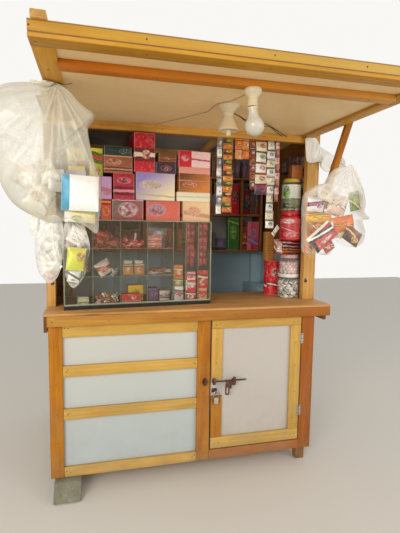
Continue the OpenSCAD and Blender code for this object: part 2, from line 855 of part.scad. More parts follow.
// Pigeonhole shelves on the back wall
module shelf_unit() {
    x0 = x_left + frame_in + frame_s + 25;
    x1 = x_right - frame_in - frame_s - 14;
    y0 = back_in - shelf_d;
    pitch = cell_h + shelf_t;
    x2 = x1 - 2 * shelf_t - last_cell_w;
    col = (x2 - x0) / cell_cols;
    uprights = [for (c = [0:cell_cols]) x0 + c * col, x1 - shelf_t];
    color(brown_wood) place() {
        for (r = [0:cell_rows]) {
            z = counter_h + shelf_z + r * pitch;
            block([x0, y0, z], [x1, back_in, z + shelf_t]);
        }
        for (r = [0:cell_rows - 1])
            for (x = uprights) {
                z = counter_h + shelf_z + shelf_t + r * pitch;
                block([x, y0 + 2, z + joint_gap], [x + shelf_t, back_in, z + cell_h - joint_gap]);
            }
    }
}

// The case stands turned a little on the counter
module case_place() {
    place() translate([82, 56, counter_h]) rotate([0, 0, case_turn]) children();
}

module case_base() {
    color([0.12, 0.13, 0.12]) case_place() block([0, 0, 0], [case_w, case_d, case_base_h]);
}

module case_glass() {
    t = glass_t;
    g = joint_gap;
    z1 = case_h - t - g;
    color([0.55, 0.68, 0.62, 0.45]) case_place() {
        block([0, 0, case_h - t], [case_w, case_d, case_h]);
        block([0, 0, case_base_h], [case_w, t, z1]);
        block([0, t + g, case_base_h], [t, case_d, z1]);
        block([case_w - t, t + g, case_base_h], [case_w, case_d, z1]);
    }
}

// Glass shelves and the upright panes between the bays
module case_partitions() {
    t = glass_t;
    g = joint_gap;
    wide_x = case_w - t - case_slots * case_slot_w;
    pitch_x = wide_x / case_bays;
    pitch_z = (case_h - case_base_h - t) / case_rows;
    y0 = t + 6;
    y1 = case_d - 4;
    color([0.55, 0.68, 0.62, 0.45]) case_place() {
        for (r = [1:case_rows - 1])
            block([t + g, y0, case_base_h + r * pitch_z], [wide_x - g, y1, case_base_h + r * pitch_z + t]);
        for (r = [0:case_rows - 1], c = [1:case_bays - 1]) {
            z = case_base_h + r * pitch_z + (r == 0 ? 0 : t + g);
            block([c * pitch_x, y0, z], [c * pitch_x + t, y1, case_base_h + (r + 1) * pitch_z - g]);
        }
        for (c = [0:case_slots - 1]) {
            x = wide_x + c * case_slot_w;
            block([x, y0, case_base_h], [x + t, y1, case_h - t - g]);
        }
    }
}

// Front holder with its bulb socket, and the rear one with a bell skirt
module lamp_holders() {
    color([0.90, 0.87, 0.80]) place() {
        translate(front_lamp) mirror([0, 0, 1])
            rotate_extrude()
                polygon([[0, 0], [35, 0], [37, 4], [37, 18], [21, 36], [21, 68], [22, 70], [22, 72], [0, 72]]);
        translate(rear_lamp) mirror([0, 0, 1])
            rotate_extrude()
                polygon([[0, 0], [57, 0], [57, 6], [45, 15], [27, 34], [27, 48], [23.5, 52], [23.5, 55],
                    [38, 90], [52, 122], [52, 124], [48, 124], [34, 92], [20, 70], [12, 70], [12, 149],
                    [0, 149]]);
    }
}

module lamp_bulb() {
    holder_h = 72;
    neck_r = 19;
    drop = bulb_r * 1.9;
    lift = neck_r * sin(bulb_lean) + joint_gap;
    color([0.96, 0.95, 0.92]) place()
        translate([front_lamp[0], front_lamp[1], front_lamp[2] - holder_h - lift])
            rotate([0, -bulb_lean, 0]) mirror([0, 0, 1])
                rotate_extrude()
                    difference() {
                        union() {
                            polygon([[0, 0], [neck_r, 0], [20, 20], [23, 40], [31, 55], [31, drop], [0, drop]]);
                            translate([0, drop]) circle(r = bulb_r);
                        }
                        translate([-100, -20]) square([100, 300]);
                    }
}

// Twin flex that hangs from the rear holder to the header, its cores parted there
module lamp_flex() {
    color([0.20, 0.14, 0.10]) place() {
        wire_tube(smooth(flex_points), flex_r);
        wire_tube(smooth(core_points), flex_r);
    }
}

// Lead from the front holder along the white sheet to the header
module lamp_lead() {
    color([0.55, 0.48, 0.36]) place() wire_tube(smooth(lead_points), lead_r);
}

// Points between the given ones on a curve that runs through them all
function smooth(p) = [for (i = [0:len(p) - 2], k = [0:curve_steps - 1])
        let (t = k / curve_steps, a = p[max(i - 1, 0)], b = p[i], c = p[i + 1],
            d = p[min(i + 2, len(p) - 1)])
            b + t * (c - a) / 2 + t * t * (2 * a - 5 * b + 4 * c - d) / 2
                + t * t * t * (3 * b - a - 3 * c + d) / 2, p[len(p) - 1]];

function unit(v) = v / norm(v);

function along(points, i) =
    i == 0 ? unit(points[1] - points[0])
    : i == len(points) - 1 ? unit(points[i] - points[i - 1])
    : unit(points[i + 1] - points[i - 1]);

// A tube of eight sides swept along points, with its ends closed
module wire_tube(points, r) {
    sides = 8;
    rings = [for (i = [0:len(points) - 1])
        let (d = along(points, i), s = unit(cross(d, [0, 0, 1])), u = cross(s, d))
            [for (k = [0:sides - 1])
                points[i] + r * cos(360 * k / sides) * s + r * sin(360 * k / sides) * u]];
    last = (len(points) - 1) * sides;
    walls = [for (i = [0:len(points) - 2], k = [0:sides - 1])
        [i * sides + k, i * sides + (k + 1) % sides,
            (i + 1) * sides + (k + 1) % sides, (i + 1) * sides + k]];
    ends = [[for (k = [sides - 1:-1:0]) k], [for (k = [0:sides - 1]) last + k]];
    polyhedron([for (ring = rings) each ring], concat(walls, ends), convexity = 4);
}

// Piles of cartons on the case: each carton's left edge, width and height
piles = [
    [[20, 118, 121], [26, 104, 150], [34, 92, 128]],
    [[146, 64, 121], [146, 66, 126], [150, 73, 154]],
    [[214, 55, 119], [214, 58, 127]],
    [[274, 184, 121], [283, 122, 148], [228, 165, 99], [230, 158, 49]],
    [[476, 207, 121], [414, 236, 160], [531, 127, 68], [549, 109, 56]],
    [[703, 175, 121], [663, 215, 56], [676, 200, 150], [672, 204, 97]]];
// The tall carton stands on the second one of this pile
tall_pile = 4;
tall_carton = [403, 124, 228];
carton_front = 30;
carton_d = 190;
// The cartons' sizes are for a case of this width with this room over it
piles_w = 880;
piles_room = 529;
carton_w_k = case_w / piles_w;
carton_h_k = (opening_h - case_h) / piles_room;

function pile_z(pile, n) = n == 0 ? joint_gap
    : pile_z(pile, n - 1) + pile[n - 1][2] * carton_h_k + joint_gap;

module carton(c, z) {
    x = c[0] * carton_w_k;
    block([x, carton_front, case_h + z],
        [x + c[1] * carton_w_k, carton_front + carton_d, case_h + z + c[2] * carton_h_k]);
}

module stock_boxes() {
    color([0.72, 0.25, 0.28]) case_place() {
        for (pile = piles, i = [0:len(pile) - 1]) carton(pile[i], pile_z(pile, i));
        carton(tall_carton, pile_z(piles[tall_pile], 2));
    }
}

// Jars stacked on the counter by the right post with a heap of packets
// between them, and a tin with a pack on it beside them
jar_k = opening_h / 1044;
jar_stack = [[80, 168], [72, 132], [0, 96], [72, 202], [66, 218]];
jar_from_post = 55;
jar_behind = 112;
tin_side = 73;
tin_behind = 123;

function jar_z(n) = n == 0 ? joint_gap : jar_z(n - 1) + jar_stack[n - 1][1] * jar_k + joint_gap;

module jar(r, h) {
    lid_h = 24;
    rotate_extrude()
        polygon([[0, 0], [r - 6, 0], [r, 8], [r, h - lid_h - 22], [r - 14, h - lid_h - 6],
            [r - 14, h - lid_h], [r - 8, h - lid_h], [r - 8, h], [0, h]]);
}

module jars() {
    tin_r = 59;
    tin_h = 250;
    pack_h = 205;
    pack_side = 28;
    color([0.80, 0.22, 0.20]) place()
        translate([post_in_r - jar_from_post, post_y + jar_behind, counter_h]) {
            for (i = [0:len(jar_stack) - 1])
                translate([0, 0, jar_z(i)])
                    if (jar_stack[i][0] > 0) jar(jar_stack[i][0], jar_stack[i][1] * jar_k);
                    else block([-112, -56, 0], [100, 56, jar_stack[i][1] * jar_k]);
            translate([0, 0, jar_z(len(jar_stack))]) block([-14, -30, 0], [64, 30, 92 * jar_k]);
            translate([-tin_side, tin_behind, joint_gap]) cylinder(r = tin_r, h = tin_h);
            translate([-tin_side - pack_side, tin_behind, tin_h + 2 * joint_gap])
                block([-37, -30, 0], [37, 30, pack_h]);
        }
}

// Strips of sachets hung from the header, as left edge, width and length
module sachet_strips() {
    strips = [[1003, 34, 476], [1045, 62, 465], [1124, 92, 126], [1224, 36, 312],
        [1262, 80, 345], [1344, 53, 562], [1399, 31, 388]];
    y = post_y + 4;
    color([0.78, 0.76, 0.62]) place()
        for (s = strips)
            block([s[0], y, header_z - joint_gap - s[2]], [s[0] + s[1], y + 4, header_z - joint_gap]);
}

module ball(p, r) {
    translate(p) sphere(r = r, $fn = 22);
}

// Filled bags hung from the flap's left edge
bag_left_y = flap_front + 427;

module bag_left() {
    color([0.80, 0.82, 0.80, 0.6]) place() translate([x_low, bag_left_y, flap_z - joint_gap]) {
        hull() {
            ball([280, 0, -26], 26);
            ball([120, 0, -200], 110);
            ball([130, 0, -400], 130);
            ball([355, 0, -410], 110);
            ball([250, 0, -480], 110);
        }
        hull() {
            ball([262, 0, -620], 52);
            ball([257, 0, -773], 62);
        }
        hull() {
            ball([345, 4, -620], 54);
            ball([375, 4, -723], 62);
            ball([350, 4, -812], 53);
        }
    }
}

// Filled bags hung from the right strut, and a folded film on the post
module bag_right() {
    knot_r = 18;
    knot_z = flap_z - 198;
    bulk_y = post_y - strut_reach - 15;
    face = sqrt(1 + strut_slope * strut_slope);
    reach = knot_r + joint_gap;
    knot = [flap_right + strut_w / 2, strut_face(knot_z) - reach * strut_slope / face, knot_z - reach / face];
    film_y = post_y - joint_gap - 12;
    color([0.80, 0.82, 0.80, 0.6]) place() {
        hull() {
            ball(knot, knot_r);
            translate([x_high, bulk_y, flap_z]) {
                ball([-286, 0, -423], 105);
                ball([-100, 0, -473], 100);
                ball([-196, 0, -293], 75);
                ball([-236, 0, -673], 72);
                ball([-76, 0, -623], 70);
            }
        }
        hull() {
            ball([post_in_r + 10, film_y, header_z + 4], 12);
            ball([x_right - 18, film_y, header_z + 4], 12);
            ball([x_right - 26, film_y, header_z - 106], 12);
            ball([post_in_r + 44, film_y, header_z - 100], 12);
        }
    }
}

corner_posts();
stone_block();
floor_frame();
floor_boards();
front_stiles();
front_rails();
door_sill();
front_panel();
wall_trims();
side_panels();
back_panel();
back_lining();
counter_board();
counter_fascia();
side_bearers();
upper_posts();
header();
upper_side_panels();
roof_frame();
roof_panel();
flap_frame();
flap_trims();
flap_cross_rail();
flap_sheet();
flap_cover();
flap_battens();
struts();
door_sheet();
door_rails();
door_stiles();
hinge_frame_leaves();
hinge_door_leaves();
bolt_fittings();
bolt_rod();
bolt_keeper();
padlock();
shelf_unit();
case_base();
case_glass();
case_partitions();
lamp_holders();
lamp_bulb();
lamp_flex();
lamp_lead();
stock_boxes();
jars();
sachet_strips();
bag_left();
bag_right();
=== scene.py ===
"""Looks of the street kiosk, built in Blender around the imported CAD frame.

Lengths are metres in the row's frame: +X to the customer's right, +Y to the
back wall, +Z up. The source's own millimetre frame starts at the cabinet's
front left corner on the ground, and at() turns it into the row's frame.
"""
from __future__ import annotations

import json
import logging
import math
from dataclasses import dataclass, field
from enum import Enum
from functools import cache
from typing import Iterable, Sequence

import bpy
import bmesh
import numpy as np
from mathutils import Matrix, Vector

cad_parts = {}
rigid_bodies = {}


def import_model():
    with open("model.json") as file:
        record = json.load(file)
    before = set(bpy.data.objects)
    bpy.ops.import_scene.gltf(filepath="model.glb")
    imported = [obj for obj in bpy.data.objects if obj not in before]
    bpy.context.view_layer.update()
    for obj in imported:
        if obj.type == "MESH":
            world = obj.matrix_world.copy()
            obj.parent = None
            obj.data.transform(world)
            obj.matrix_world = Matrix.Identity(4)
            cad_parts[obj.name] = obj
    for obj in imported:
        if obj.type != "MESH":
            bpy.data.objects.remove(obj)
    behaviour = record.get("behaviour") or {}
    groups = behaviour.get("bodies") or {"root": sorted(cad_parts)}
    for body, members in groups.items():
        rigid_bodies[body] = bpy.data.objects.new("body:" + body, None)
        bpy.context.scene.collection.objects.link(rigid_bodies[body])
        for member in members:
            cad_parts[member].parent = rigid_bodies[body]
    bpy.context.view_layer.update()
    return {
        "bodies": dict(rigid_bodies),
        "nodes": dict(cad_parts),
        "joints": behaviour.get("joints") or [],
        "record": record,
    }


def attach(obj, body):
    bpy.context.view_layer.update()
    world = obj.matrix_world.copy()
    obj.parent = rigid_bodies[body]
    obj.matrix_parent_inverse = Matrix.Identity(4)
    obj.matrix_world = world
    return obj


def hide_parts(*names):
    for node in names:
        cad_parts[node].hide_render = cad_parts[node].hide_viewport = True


LOG = logging.getLogger("kiosk")
Tone = tuple[float, float, float, float]
Socket = bpy.types.NodeSocket

# The row frame's origin, in metres of the source's frame.
MID_X, MID_Y = 0.8005, 0.1405
# The glass case's front left corner, the counter's top and the case's turn.
CASE_X, CASE_Y, COUNTER_Z = 82.0, 56.0, 1048.0
CASE_TURN = math.radians(4.6)
# The front of the upper posts, the back of the kiosk and the underside of the flap's sheet.
POST_Y, BACK_Y, SHEET_Z = 181.0, 1150.0, 2138.0
# Undersides of the ledges on the inner right wall, and middles of the two hinges.
LEDGES = (1642.0, 1796.0, 1938.0)
HINGES = (352, 828)
# Directions that a nail or a disc can look in.
TO_FRONT, TO_BACK, TO_LEFT, TO_RIGHT, DOWN = (0, -1, 0), (0, 1, 0), (-1, 0, 0), (1, 0, 0), (0, 0, -1)


def at(points: Sequence[float] | np.ndarray) -> np.ndarray:
    """Turns points of the source's millimetre frame into the row's metres."""
    return np.asarray(points, float) / 1000.0 - np.array([MID_X, MID_Y, 0.0])


def in_case(points: np.ndarray) -> np.ndarray:
    """Turns millimetre points of the glass case's own frame into the row's metres.

    Args:
        points: places across, behind and above the case's front left corner.

    Returns:
        The same places in the row's frame.
    """
    across, behind, above = np.moveaxis(np.asarray(points, float), -1, 0)
    c, s = math.cos(CASE_TURN), math.sin(CASE_TURN)
    return at(np.stack([across * c - behind * s + CASE_X, across * s + behind * c + CASE_Y,
                        above + COUNTER_Z], axis=-1))


def tone(red: float, green: float, blue: float) -> Tone:
    """Gives the linear colour of a display colour written from 0 to 255."""
    shares = (v / 255.0 for v in (red, green, blue))
    return (*(v / 12.92 if v <= 0.04045 else ((v + 0.055) / 1.055) ** 2.4 for v in shares), 1.0)


# Node writing
class NodeWriter:
    """Writes one material's nodes and links them."""

    def __init__(self, name: str) -> None:
        """Starts an empty material with its output and its shader.

        Args:
            name: the material's name.
        """
        self.material = bpy.data.materials.new(name)
        self.material.use_nodes = True
        self.tree = self.material.node_tree
        self.tree.nodes.clear()
        self.shader = self.node("BsdfPrincipled")
        self.node("OutputMaterial", {0: self.shader.outputs[0]})

    def node(self, kind: str, inputs: dict | None = None, **props: object) -> bpy.types.Node:
        """Adds a node.

        Args:
            kind: the node's type without its ShaderNode prefix.
            inputs: socket name or index to a value or to another node's output.
            props: the node's own settings.

        Returns:
            The new node.
        """
        made = self.tree.nodes.new("ShaderNode" + kind)
        for key, value in props.items():
            setattr(made, key, value)
        for key, value in (inputs or {}).items():
            self.put(made.inputs[key], value)
        return made

    def put(self, socket: Socket, value: object) -> None:
        """Fills a socket.

        Args:
            socket: the socket.
            value: another node's output to link, or a plain value.
        """
        if isinstance(value, Socket):
            self.tree.links.new(value, socket)
        else:
            socket.default_value = value

    def set(self, **values: object) -> None:
        """Sets or links the shader's sockets, written with _ for each space."""
        for key, value in values.items():
            self.put(self.shader.inputs[key.replace("_", " ")], value)

    def attribute(self, name: str, output: str) -> Socket:
        """Reads one of the mesh's attributes."""
        return self.node("Attribute", attribute_name=name).outputs[output]

    def place(self, output: str = "Object") -> Socket:
        """Gives the object's own coordinates, or its normal."""
        return self.node("TexCoord").outputs[output]

    def parts(self, vector: Socket) -> Sequence[Socket]:
        """Splits a vector into its three numbers."""
        return self.node("SeparateXYZ", {0: vector}).outputs

    def channels(self, colour: Socket) -> Sequence[Socket]:
        """Splits a colour into its three channels."""
        return self.node("SeparateColor", {0: colour}).outputs

    def cells(self, vector: Socket, scale: float) -> Sequence[Socket]:
        """Gives the distances and colours of scattered cells."""
        return self.node("TexVoronoi", {"Vector": vector, "Scale": scale}).outputs

    def scaled(self, vector: Socket, scale: Sequence[float]) -> Socket:
        """Scales a vector by three factors."""
        return self.node("Mapping", {"Vector": vector, "Scale": tuple(scale)}).outputs[0]

    def noise(self, vector: Socket, scale: float, detail: float = 4.0, rough: float = 0.55) -> Socket:
        """Gives a soft noise from 0 to 1."""
        settings = {"Vector": vector, "Scale": scale, "Detail": detail, "Roughness": rough}
        return self.node("TexNoise", settings).outputs[0]

    def streaks(self, vector: Socket, scale: Sequence[float], detail: float = 4.0,
                rough: float = 0.55) -> Socket:
        """Gives a noise that three factors draw out into streaks."""
        return self.noise(self.scaled(vector, scale), 1.0, detail, rough)

    def ramp(self, value: Socket, low: float, high: float, to_low: float = 0.0,
             to_high: float = 1.0) -> Socket:
        """Maps a value's range onto another range and clamps it."""
        return self.node("MapRange", {0: value, 1: low, 2: high, 3: to_low, 4: to_high}).outputs[0]

    def math(self, what: str, a: object, b: object = 0.0) -> Socket:
        """Gives the result of one operation on two numbers."""
        return self.node("Math", {0: a, 1: b}, operation=what).outputs[0]

    def times(self, a: object, b: object) -> Socket:
        """Multiplies two numbers."""
        return self.math("MULTIPLY", a, b)

    def plus(self, a: object, b: object) -> Socket:
        """Adds two numbers."""
        return self.math("ADD", a, b)

    def minus(self, a: object, b: object) -> Socket:
        """Takes one number from another."""
        return self.math("SUBTRACT", a, b)

    def most(self, a: object, b: object) -> Socket:
        """Gives the larger of two numbers."""
        return self.math("MAXIMUM", a, b)

    def below(self, a: object, b: object) -> Socket:
        """Gives 1 where a number is less than another."""
        return self.math("LESS_THAN", a, b)

    def above(self, a: object, b: object) -> Socket:
        """Gives 1 where a number is more than another."""
        return self.math("GREATER_THAN", a, b)

    def apart(self, a: object, b: object) -> Socket:
        """Gives the distance between two numbers."""
        return self.math("ABSOLUTE", self.minus(a, b))

    def mix(self, factor: object, a: object, b: object) -> Socket:
        """Mixes two colours by a factor."""
        return self.node("Mix", {0: factor, 6: a, 7: b}, data_type="RGBA").outputs[2]

    def bump(self, height: Socket, depth: float, strength: float = 0.6) -> None:
        """Raises the surface's light and shade by a height."""
        made = self.node("Bump", {"Height": height, "Distance": depth, "Strength": strength})
        self.set(Normal=made.outputs[0])


# Finishes
@dataclass(frozen=True)
class VarnishedTimber:
    """Varnished softwood: growth rings along the grain, fibre, knots and dust."""

    name: str
    light: Tone
    dark: Tone
    knot: Tone = tone(84, 44, 16)
    rings: float = 0.55
    knots: float = 1.0
    rough: float = 0.46
    dust: float = 0.4
    depth: float = 0.55
    mottle: float = 0.5
    # A colour that the wood turns towards on its right: painted light and shade.
    right: Tone | None = None

    def build(self) -> bpy.types.Material:
        """Writes the finish from each board's own grain attribute.

        Returns:
            The material.
        """
        w = NodeWriter(self.name)
        grain, spot = w.attribute("grain", "Vector"), w.place()
        warp = w.streaks(grain, (2.2, 9.0, 9.0), 3.0)
        waves = {"Vector": w.scaled(grain, (0.55, 10.0, 10.0)), "Scale": 1.25, "Distortion": 4.5,
                 "Detail": 3.0, "Detail Scale": 1.1}
        rings = w.node("TexWave", waves, wave_type="RINGS", rings_direction="X",
                       wave_profile="SAW").outputs[1]
        fibre = w.streaks(grain, (7.0, 240.0, 240.0), 5.0, 0.65)
        streak = w.streaks(grain, (1.6, 42.0, 42.0), 3.0)
        lines = w.plus(w.times(rings, self.rings), w.times(w.ramp(streak, 0.32, 0.7), 1.0 - self.rings))
        colour = w.mix(w.ramp(lines, 0.1, 0.95, 0.0, self.depth), self.light, self.dark)
        colour = w.mix(w.ramp(fibre, 0.42, 0.72, 0.0, 0.3), colour, self.dark)
        broad = w.streaks(grain, (3.2, 9.0, 9.0), 5.0, 0.62)
        colour = w.mix(w.ramp(broad, 0.46, 0.7, 0.0, self.mottle), colour, self.dark)
        worn = w.streaks(grain, (5.0, 26.0, 26.0), 4.0, 0.6)
        colour = w.mix(w.ramp(worn, 0.52, 0.72, 0.0, 0.6), colour, self.light)
        # Painted light and shade: where a right colour is given, the wood turns towards it from left to
        # right, as light falls unevenly across the piece.
        if self.right:
            colour = w.mix(w.ramp(w.parts(spot)[0], -0.75, 0.75, 0.0, 0.75), colour, self.right)
        cells = w.cells(w.scaled(grain, (1.5, 6.5, 6.5)), 1.0)
        far = w.plus(cells["Distance"], w.times(warp, 0.05))
        keep = w.above(w.channels(cells["Color"])[0], 1.0 - 0.5 * self.knots)
        eye = w.times(w.ramp(far, 0.13, 0.075), keep)
        halo = w.times(w.ramp(far, 0.30, 0.10, 0.0, 0.55), keep)
        colour = w.mix(eye, w.mix(halo, colour, self.dark), self.knot)
        tint = w.times(w.ramp(warp, 0.3, 0.72, 0.9, 1.08), w.attribute("tint", "Fac"))
        colour = w.node("HueSaturation", {"Color": colour, "Value": tint}).outputs[0]
        colour = w.mix(w.times(w.attribute("end", "Fac"), 0.45), colour, self.knot)
        if self.dust:
            low = w.ramp(w.parts(spot)[2], 0.75, 0.1, 0.0, self.dust)
            grime = w.times(low, w.ramp(w.noise(spot, 5.0, 5.0), 0.3, 0.62))
            colour = w.mix(grime, colour, tone(150, 134, 104))
        w.set(Base_Color=colour, Coat_Weight=0.03, Coat_Roughness=0.3, Specular_IOR_Level=0.2,
              Roughness=w.ramp(fibre, 0.3, 0.7, self.rough - 0.1, self.rough + 0.14))
        height = w.plus(w.times(fibre, 0.5), w.times(rings, 0.5))
        w.bump(w.minus(height, w.times(eye, 0.4)), 0.0006, 0.5)
        return w.material


@dataclass(frozen=True)
class FacedBoard:
    """White faced sheet, dull, with stains, scuffs and a grey film of dust, and, where a lower colour is
    given, painted shade that cools and darkens it towards the bottom.
    """

    name: str
    colour: Tone
    stain: Tone = tone(160, 152, 136)
    amount: float = 0.16
    dust_low: float = 0.34
    lower: Tone | None = None
    edge: Tone | None = None

    def build(self) -> bpy.types.Material:
        """Writes the sheet's finish on the object's coordinates.

        Returns:
            The material.
        """
        w = NodeWriter(self.name)
        spot = w.place()
        cloud = w.ramp(w.noise(spot, 2.3, 6.0, 0.6), 0.36, 0.74)
        fine = w.ramp(w.noise(spot, 38.0, 4.0, 0.7), 0.5, 0.78)
        run = w.ramp(w.streaks(spot, (26.0, 26.0, 1.4)), 0.55, 0.8)
        high = w.parts(spot)[2]
        dust = w.ramp(w.noise(spot, 7.0, 5.0), 0.3, 0.65)
        dirt = w.times(w.most(cloud, w.times(run, 0.7)), self.amount)
        # Painted shade: towards the bottom the sheet turns to the lower colour, cooler and darker.
        base = w.mix(w.ramp(high, 0.9, 0.25), self.colour, self.lower) if self.lower else self.colour
        colour = w.mix(dirt, base, self.stain)
        colour = w.mix(w.times(fine, 0.5 * self.amount), colour, self.stain)
        colour = w.mix(w.times(w.ramp(high, 0.6, 0.12, 0.0, self.dust_low), dust), colour,
                       tone(150, 136, 110))
        if self.edge:
            slope = w.math("ABSOLUTE", w.parts(w.place("Normal"))[2])
            colour = w.mix(w.below(slope, 0.5), colour, self.edge)
        w.set(Base_Color=colour, Roughness=w.ramp(cloud, 0.0, 1.0, 0.42, 0.62))
        w.bump(w.plus(w.times(fine, 0.3), cloud), 0.0008, 0.35)
        return w.material


@dataclass(frozen=True)
class ClearPane:
    """Window glass or clear plastic, smeared and a little dusty."""

    name: str
    colour: Tone
    cover: float = 0.28
    rough: float = 0.07

    def build(self) -> bpy.types.Material:
        """Writes a see-through pane whose smears are duller.

        Returns:
            The material.
        """
        w = NodeWriter(self.name)
        smear = w.streaks(w.place(), (3.0, 3.0, 9.0), 5.0, 0.6)
        w.set(Base_Color=self.colour, IOR=1.5, Specular_IOR_Level=0.7,
              Alpha=w.ramp(smear, 0.3, 0.75, self.cover * 0.75, self.cover * 1.35),
              Roughness=w.ramp(smear, 0.3, 0.8, self.rough, self.rough + 0.18))
        return w.material


@dataclass(frozen=True)
class ThinFilm:
    """Thin bag film: milky where it is gathered, clear where it is stretched."""

    name: str
    colour: Tone
    clear: float
    milky: float = 0.9

    def build(self) -> bpy.types.Material:
        """Writes the film from its fold attribute.

        Returns:
            The material.
        """
        w = NodeWriter(self.name)
        crumple = w.streaks(w.place(), (9.0, 9.0, 5.0), 5.0, 0.6)
        sharp = w.ramp(w.apart(crumple, 0.5), 0.0, 0.022, 1.0, 0.0)
        cover = w.plus(w.attribute("fold", "Fac"), w.times(sharp, 0.12))
        w.set(Base_Color=self.colour, Alpha=w.ramp(cover, 0.0, 1.0, self.clear, self.milky),
              Roughness=0.2, IOR=1.45, Specular_IOR_Level=0.6)
        w.bump(w.plus(crumple, w.times(sharp, 0.2)), 0.006, 0.6)
        return w.material


@dataclass(frozen=True)
class PrintedPack:
    """Printed card or foil: fading ground, strip, banner, an oval patch and rubbed edges."""

    name: str
    rough: float = 0.45
    metal: float = 0.0
    crinkle: float = 0.0008
    scale: float = 130.0
    ragged: float = 0.2

    def build(self) -> bpy.types.Material:
        """Writes the print from each pack's own attributes.

        Returns:
            The material.
        """
        w = NodeWriter(self.name)
        spot = w.place()
        u, v, side = w.parts(w.attribute("face", "Vector"))
        printed = w.below(u, 1.5)
        on_face = w.times(printed, w.below(side, 0.5))
        middle, half, slant = w.parts(w.attribute("band", "Vector"))
        top, fading, left = w.parts(w.attribute("look", "Vector"))
        oval_u, oval_v, oval_wide = w.channels(w.attribute("oval", "Color"))
        oval_high = w.attribute("oval", "Alpha")
        soft = w.noise(spot, self.scale * 0.4, 3.0, 0.55)
        uneven = w.minus(soft, 0.5)
        cells = w.cells(spot, self.scale)
        _, pick, rare = w.channels(cells["Color"])
        dots = w.below(cells["Distance"], 0.3)
        a, b, c = (w.attribute(n, "Color") for n in ("ink_a", "ink_b", "ink_c"))
        # The ground fades from one colour to the other, with a strip of the second at the left.
        rise = w.apart(v, w.below(fading, 0.0))
        across = w.plus(w.times(u, 0.6), w.times(rise, 0.6))
        ground = w.mix(w.times(w.ramp(across, 0.25, 1.0), w.math("ABSOLUTE", fading)), a, b)
        ground = w.mix(w.ramp(soft, 0.52, 0.64, 0.0, 0.12), ground, c)
        ground = w.mix(w.below(u, left), ground, b)
        ground = w.mix(on_face, w.mix(0.6, a, b), ground)
        # The banner is a slanting band with a plain line along its middle.
        lean = w.plus(v, w.times(w.minus(u, 0.5), slant))
        away = w.apart(w.plus(lean, w.times(uneven, 0.09)), middle)
        in_band = w.times(w.below(away, half), printed)
        banner = w.mix(w.below(away, w.times(half, 0.3)), w.mix(0.5, b, tone(60, 30, 26)), c)
        colour = w.mix(in_band, ground, w.mix(w.times(dots, 0.35), banner, a))
        # The oval patch is mottled and has a paler rim.
        du = w.math("DIVIDE", w.minus(u, oval_u), oval_wide)
        dv = w.math("DIVIDE", w.minus(v, oval_v), oval_high)
        far = w.plus(w.plus(w.times(du, du), w.times(dv, dv)), w.times(uneven, self.ragged * 2.0))
        shades = w.mix(w.ramp(soft, 0.4, 0.6), c, w.mix(0.5, b, tone(96, 56, 40)))
        patch = w.mix(w.times(w.above(pick, 0.5), 0.5), shades, a)
        patch = w.mix(w.times(w.above(rare, 0.55), w.times(dots, 0.8)), patch, tone(226, 214, 192))
        in_rim = w.times(w.below(far, 1.16), on_face)
        colour = w.mix(w.times(in_rim, 0.35), colour, w.mix(0.4, c, tone(226, 216, 198)))
        colour = w.mix(w.times(w.below(far, 0.9), on_face), colour, patch)
        # The top strip, the rubbed edges and a thin film of dust lie over the rest.
        colour = w.mix(w.times(w.above(v, w.minus(1.0, top)), printed), colour, c)
        fold = w.ramp(w.most(w.apart(u, 0.5), w.apart(v, 0.5)), 0.475, 0.497, 0.0, 0.4)
        colour = w.mix(w.times(fold, printed), colour, tone(206, 194, 172))
        rub = w.ramp(w.noise(spot, 45.0, 5.0, 0.65), 0.62, 0.8, 0.0, 0.14)
        colour = w.mix(rub, colour, tone(196, 184, 166))
        w.set(Base_Color=colour, Roughness=self.rough, Metallic=self.metal, Coat_Weight=0.08,
              Specular_IOR_Level=0.35)
        w.bump(w.noise(spot, self.scale * 0.7, 4.0, 0.6), self.crinkle, 0.5)
        return w.material


@dataclass(frozen=True)
class BareMetal:
    """Steel or brass with spots of rust that grow into a crust."""

    name: str
    colour: Tone
    rust: Tone
    amount: float
    rough: float = 0.35

    def build(self) -> bpy.types.Material:
        """Writes metal under a broken layer of rust.

        Returns:
            The material.
        """
        w = NodeWriter(self.name)
        spot = w.place()
        crust = w.ramp(w.noise(spot, 55.0, 8.0, 0.62), 0.72 - 0.42 * self.amount, 0.82 - 0.36 * self.amount)
        grain = w.noise(spot, 420.0, 4.0, 0.7)
        w.set(Base_Color=w.mix(crust, self.colour, w.mix(grain, self.rust, tone(58, 34, 24))),
              Metallic=w.ramp(crust, 0.0, 1.0, 0.9, 0.15),
              Roughness=w.ramp(crust, 0.0, 1.0, self.rough, 0.82))
        w.bump(w.plus(crust, w.times(grain, 0.5)), 0.0005, 0.6)
        return w.material


@dataclass(frozen=True)
class MouldedPlastic:
    """Moulded plastic with a fine skin and hand marks."""

    name: str
    colour: Tone
    rough: float = 0.35
    wear: float = 0.2

    def build(self) -> bpy.types.Material:
        """Writes plastic whose marks are duller and a little darker.

        Returns:
            The material.
        """
        w = NodeWriter(self.name)
        spot = w.place()
        marks = w.ramp(w.noise(spot, 22.0, 6.0, 0.6), 0.45, 0.75)
        grimy = tuple(0.62 * c for c in self.colour[:3]) + (1.0,)
        w.set(Base_Color=w.mix(w.times(marks, self.wear), self.colour, grimy),
              Roughness=w.ramp(marks, 0.0, 1.0, self.rough, self.rough + 0.2))
        w.bump(w.noise(spot, 300.0, 2.0), 0.0002, 0.3)
        return w.material


